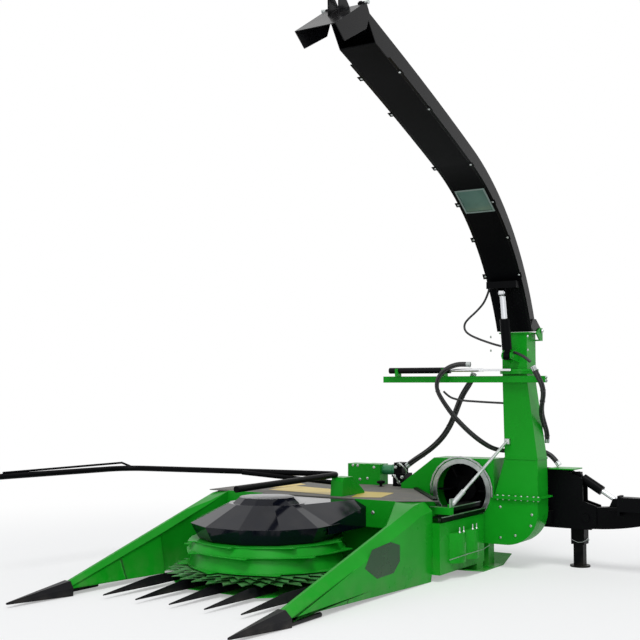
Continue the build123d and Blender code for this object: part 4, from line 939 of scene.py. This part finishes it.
def motor_cover():
    """The drum motor's end cover with its four bolts."""
    cover_x, motor_y, motor_z = 0.118, 1.565, 0.672
    cover_r, cover_t, bolt_circle_r = 0.044, 0.010, 0.036
    mesh = bmesh.new()
    add_turned(mesh, (cover_x, motor_y, motor_z), X, [(cover_r, 0), (cover_r, cover_t)], 28)
    for i in range(4):
        a = math.radians(45 + 90 * i)
        y = motor_y + bolt_circle_r * math.cos(a)
        z = motor_z + bolt_circle_r * math.sin(a)
        add_bolt(mesh, (cover_x + cover_t, y, z), X, 0.005, 0.005)
    piece("motor_cover", mesh, "harvester", MOTOR_TEAL)


def cross_bar_bolts():
    heads = [((1.480, 1.378, z), X, 0.008, 0.012) for z in (1.380, 1.404)]
    heads += [((x, 1.400, 1.385), Y, 0.008, 0.006) for x in (1.150, 1.330)]
    fasteners("cross_bar_bolts", "harvester", heads)


def collar_bolts():
    heads = []
    for z in (1.600, 1.700):
        heads.append(((1.374, 1.300, z), X, 0.007, 0.006))
        heads.append(((1.090, 1.300, z), -X, 0.007, 0.006))
    fasteners("collar_bolts", "spout_base", heads)


# Spout: its hinge, tabs along the lower flanges, the window's frame and the flap's hinge
def spout_hinge_bolts():
    hinge_y, hinge_z = 1.577, 1.748
    heads = []
    for x, way in ((1.378, X), (1.086, -X)):
        heads.append(((x, hinge_y, hinge_z), way, 0.012, 0.010))
    fasteners("spout_hinge_bolts", "spout", heads)


# place in Y and Z, and the direction that the flange faces there
tab_places = [
    (-0.576, 3.180, -0.340, -0.940), (-0.204, 3.041, -0.358, -0.934), (0.397, 2.800, -0.391, -0.920),
    (0.750, 2.602, -0.560, -0.828), (1.000, 2.385, -0.700, -0.714), (1.200, 2.138, -0.830, -0.558),
]


def flange_tabs():
    """Small bolted tabs on both lower flanges of the spout."""
    half_length, inner_reach, outer_reach, thickness = 0.020, 0.008, 0.020, 0.004
    tabs = bmesh.new()
    heads = bmesh.new()
    for y, z, facing_y, facing_z in tab_places:
        normal = Vector((0, facing_y, facing_z)).normalized()
        along = Vector((0, facing_z, -facing_y)).normalized()
        for x, outward in ((1.096, -1), (1.356, 1)):
            foot = Vector((x, y, z)) - normal * 0.001
            corners = []
            for run, reach in (
                (-half_length, -inner_reach), (half_length, -inner_reach), (half_length, outer_reach),
                (-half_length, outer_reach),
            ):
                corners.append(foot + along * run + X * reach * outward)
            add_rings(tabs, [corners, [c + normal * thickness for c in corners]])
            add_bolt(heads, foot + normal * thickness, normal, 0.006, 0.005)
    piece("flange_tabs", tabs, "spout", SPOUT_BLACK)
    piece("flange_tab_bolts", heads, "spout", ZINC)


def window_frame():
    """Four flat strips round the window in the spout's belly."""
    lower_corner, upper_corner = Vector((0, 0.811, 2.557)), Vector((0, 0.639, 2.676))
    left, right, window_run = 1.122, 1.342, 0.204
    end_strip, side_strip = 0.012, 0.011
    along = (upper_corner - lower_corner).normalized()
    normal = along.cross(X).normalized()
    if normal.z > 0:
        normal = -normal
    mesh = bmesh.new()
    for start, stop, side_a, side_b in (
        (-end_strip, 0, left, right),
        (window_run, window_run + end_strip, left, right),
        (0, window_run, left, left + side_strip),
        (0, window_run, right - side_strip, right),
    ):
        ring = []
        for reach, x in ((start, side_a), (stop, side_a), (stop, side_b), (start, side_b)):
            ring.append(lower_corner + along * reach + X * x + normal * 0.001)
        add_rings(mesh, [ring, [p + normal * 0.003 for p in ring]])
    piece("window_frame", mesh, "spout", FRAME_GREY)


def flap_hinge_ends():
    """The knobs at both ends of the flap's hinge rod."""
    rod_r, knob_r = 0.009, 0.012
    profile = [(rod_r, 0), (rod_r, 0.014), (knob_r, 0.015), (knob_r, 0.022)]
    mesh = bmesh.new()
    for x, way in ((1.363, X), (1.101, -X)):
        add_turned(mesh, (x, -0.987, 3.470), way, profile, 14)
    piece("flap_hinge_ends", mesh, "spout", ZINC)


def leg_pin():
    """The pin that holds the parking leg, with its clip wire."""
    pin_r, pin_y, pin_z = 0.008, 1.833, 0.200
    clip = [
        (1.620, 1.830, 0.206), (1.626, 1.806, 0.214), (1.620, 1.780, 0.202), (1.592, 1.778, 0.188),
        (1.560, 1.779, 0.184), (1.530, 1.780, 0.194), (1.505, 1.778, 0.206),
    ]
    mesh = bmesh.new()
    for x, length in ((1.496, 0.010), (1.606, 0.020)):
        add_turned(mesh, (x, pin_y, pin_z), X, [(pin_r, 0), (pin_r, length)], 12)
    add_tube(mesh, clip, 0.002)
    piece("leg_pin", mesh, "harvester", ZINC, smooth=60)


divider_shell("divider_left", 1)
divider_shell("divider_right", -1)
blank_deck_plates()
add_painted_shade_patch()
tower_flange_bolts()
front_bolts()
bulge_studs()
tower_seam()
inlet_rim()
channel_guards()
channel_lip()
deck_knob()
valve_and_box_bolts()
valve_pipes()
motor_cover()
cross_bar_bolts()
collar_bolts()
spout_hinge_bolts()
flange_tabs()
window_frame()
flap_hinge_ends()
leg_pin()


# Floor and light
clear_floor_r = 2.2     # the floor shows its shading up to here
white_floor_r = 6.0     # and is as white as the backdrop from here


def make_floor():
    half, depth = 60, 0.05
    mesh = bmesh.new()
    add_block(mesh, (-half, -half, -depth), (half, half, 0))
    data = bpy.data.meshes.new("studio_floor")
    mesh.to_mesh(data)
    mesh.free()
    floor = bpy.data.objects.new("studio_floor", data)
    bpy.context.collection.objects.link(floor)
    material = bpy.data.materials.new("pale_floor")
    material.use_nodes = True
    tree = material.node_tree
    shader = tree.nodes["Principled BSDF"]
    shader.inputs["Base Color"].default_value = (0.93, 0.93, 0.93, 1)
    shader.inputs["Roughness"].default_value = 0.9
    shader.inputs["Specular IOR Level"].default_value = 0.1
    glow = node(tree, "ShaderNodeEmission", {"Color": (1, 1, 1, 1), "Strength": 1.0})
    place = node(tree, "ShaderNodeTexCoord").outputs["Object"]
    away = node(tree, "ShaderNodeVectorMath", {0: place}, operation="LENGTH")
    fade = node(
        tree, "ShaderNodeMapRange",
        {
            "Value": away.outputs["Value"], "From Min": clear_floor_r, "From Max": white_floor_r,
            "To Min": 0.35,
        },
        interpolation_type="SMOOTHSTEP",
    )
    seen = node(tree, "ShaderNodeLightPath").outputs["Is Camera Ray"]
    share = node(tree, "ShaderNodeMath", {0: fade.outputs[0], 1: seen}, operation="MULTIPLY")
    both = node(
        tree, "ShaderNodeMixShader", {0: share.outputs[0], 1: shader.outputs[0], 2: glow.outputs[0]}
    )
    tree.links.new(both.outputs[0], tree.nodes["Material Output"].inputs["Surface"])
    data.materials.append(material)


def make_world():
    world = bpy.data.worlds.new("studio")
    bpy.context.scene.world = world
    world.use_nodes = True
    tree = world.node_tree
    tree.nodes.clear()
    light = node(tree, "ShaderNodeBackground", {"Color": (0.95, 0.97, 1, 1), "Strength": 0.5})
    shown = node(tree, "ShaderNodeBackground", {"Color": (1, 1, 1, 1), "Strength": 1.0})
    path = node(tree, "ShaderNodeLightPath")
    first = node(
        tree, "ShaderNodeMath",
        {0: path.outputs["Is Camera Ray"], 1: path.outputs["Is Glossy Ray"]}, operation="MAXIMUM",
    )
    both = node(
        tree, "ShaderNodeMath", {0: first.outputs[0], 1: path.outputs["Is Transmission Ray"]},
        operation="MAXIMUM",
    )
    mixed = node(
        tree, "ShaderNodeMixShader", {0: both.outputs[0], 1: light.outputs[0], 2: shown.outputs[0]}
    )
    end = node(tree, "ShaderNodeOutputWorld")
    tree.links.new(mixed.outputs[0], end.inputs["Surface"])


def add_light(name, kind, place, aim, energy, size):
    data = bpy.data.lights.new(name, kind)
    data.energy = energy
    if kind == "SUN":
        data.angle = size
    else:
        data.size = size
    lamp = bpy.data.objects.new(name, data)
    lamp.location = place
    lamp.rotation_euler = (Vector(aim) - Vector(place)).to_track_quat("-Z", "Y").to_euler()
    bpy.context.collection.objects.link(lamp)


make_floor()
make_world()
add_light("sky_key", "SUN", (3, -4, 8), (0, 0.5, 0), 1.5, math.radians(25))
add_light("front_fill", "AREA", (5, -7, 3), (0.5, 0.5, 0.8), 120, 4)

bpy.context.scene.view_settings.view_transform = "Standard"
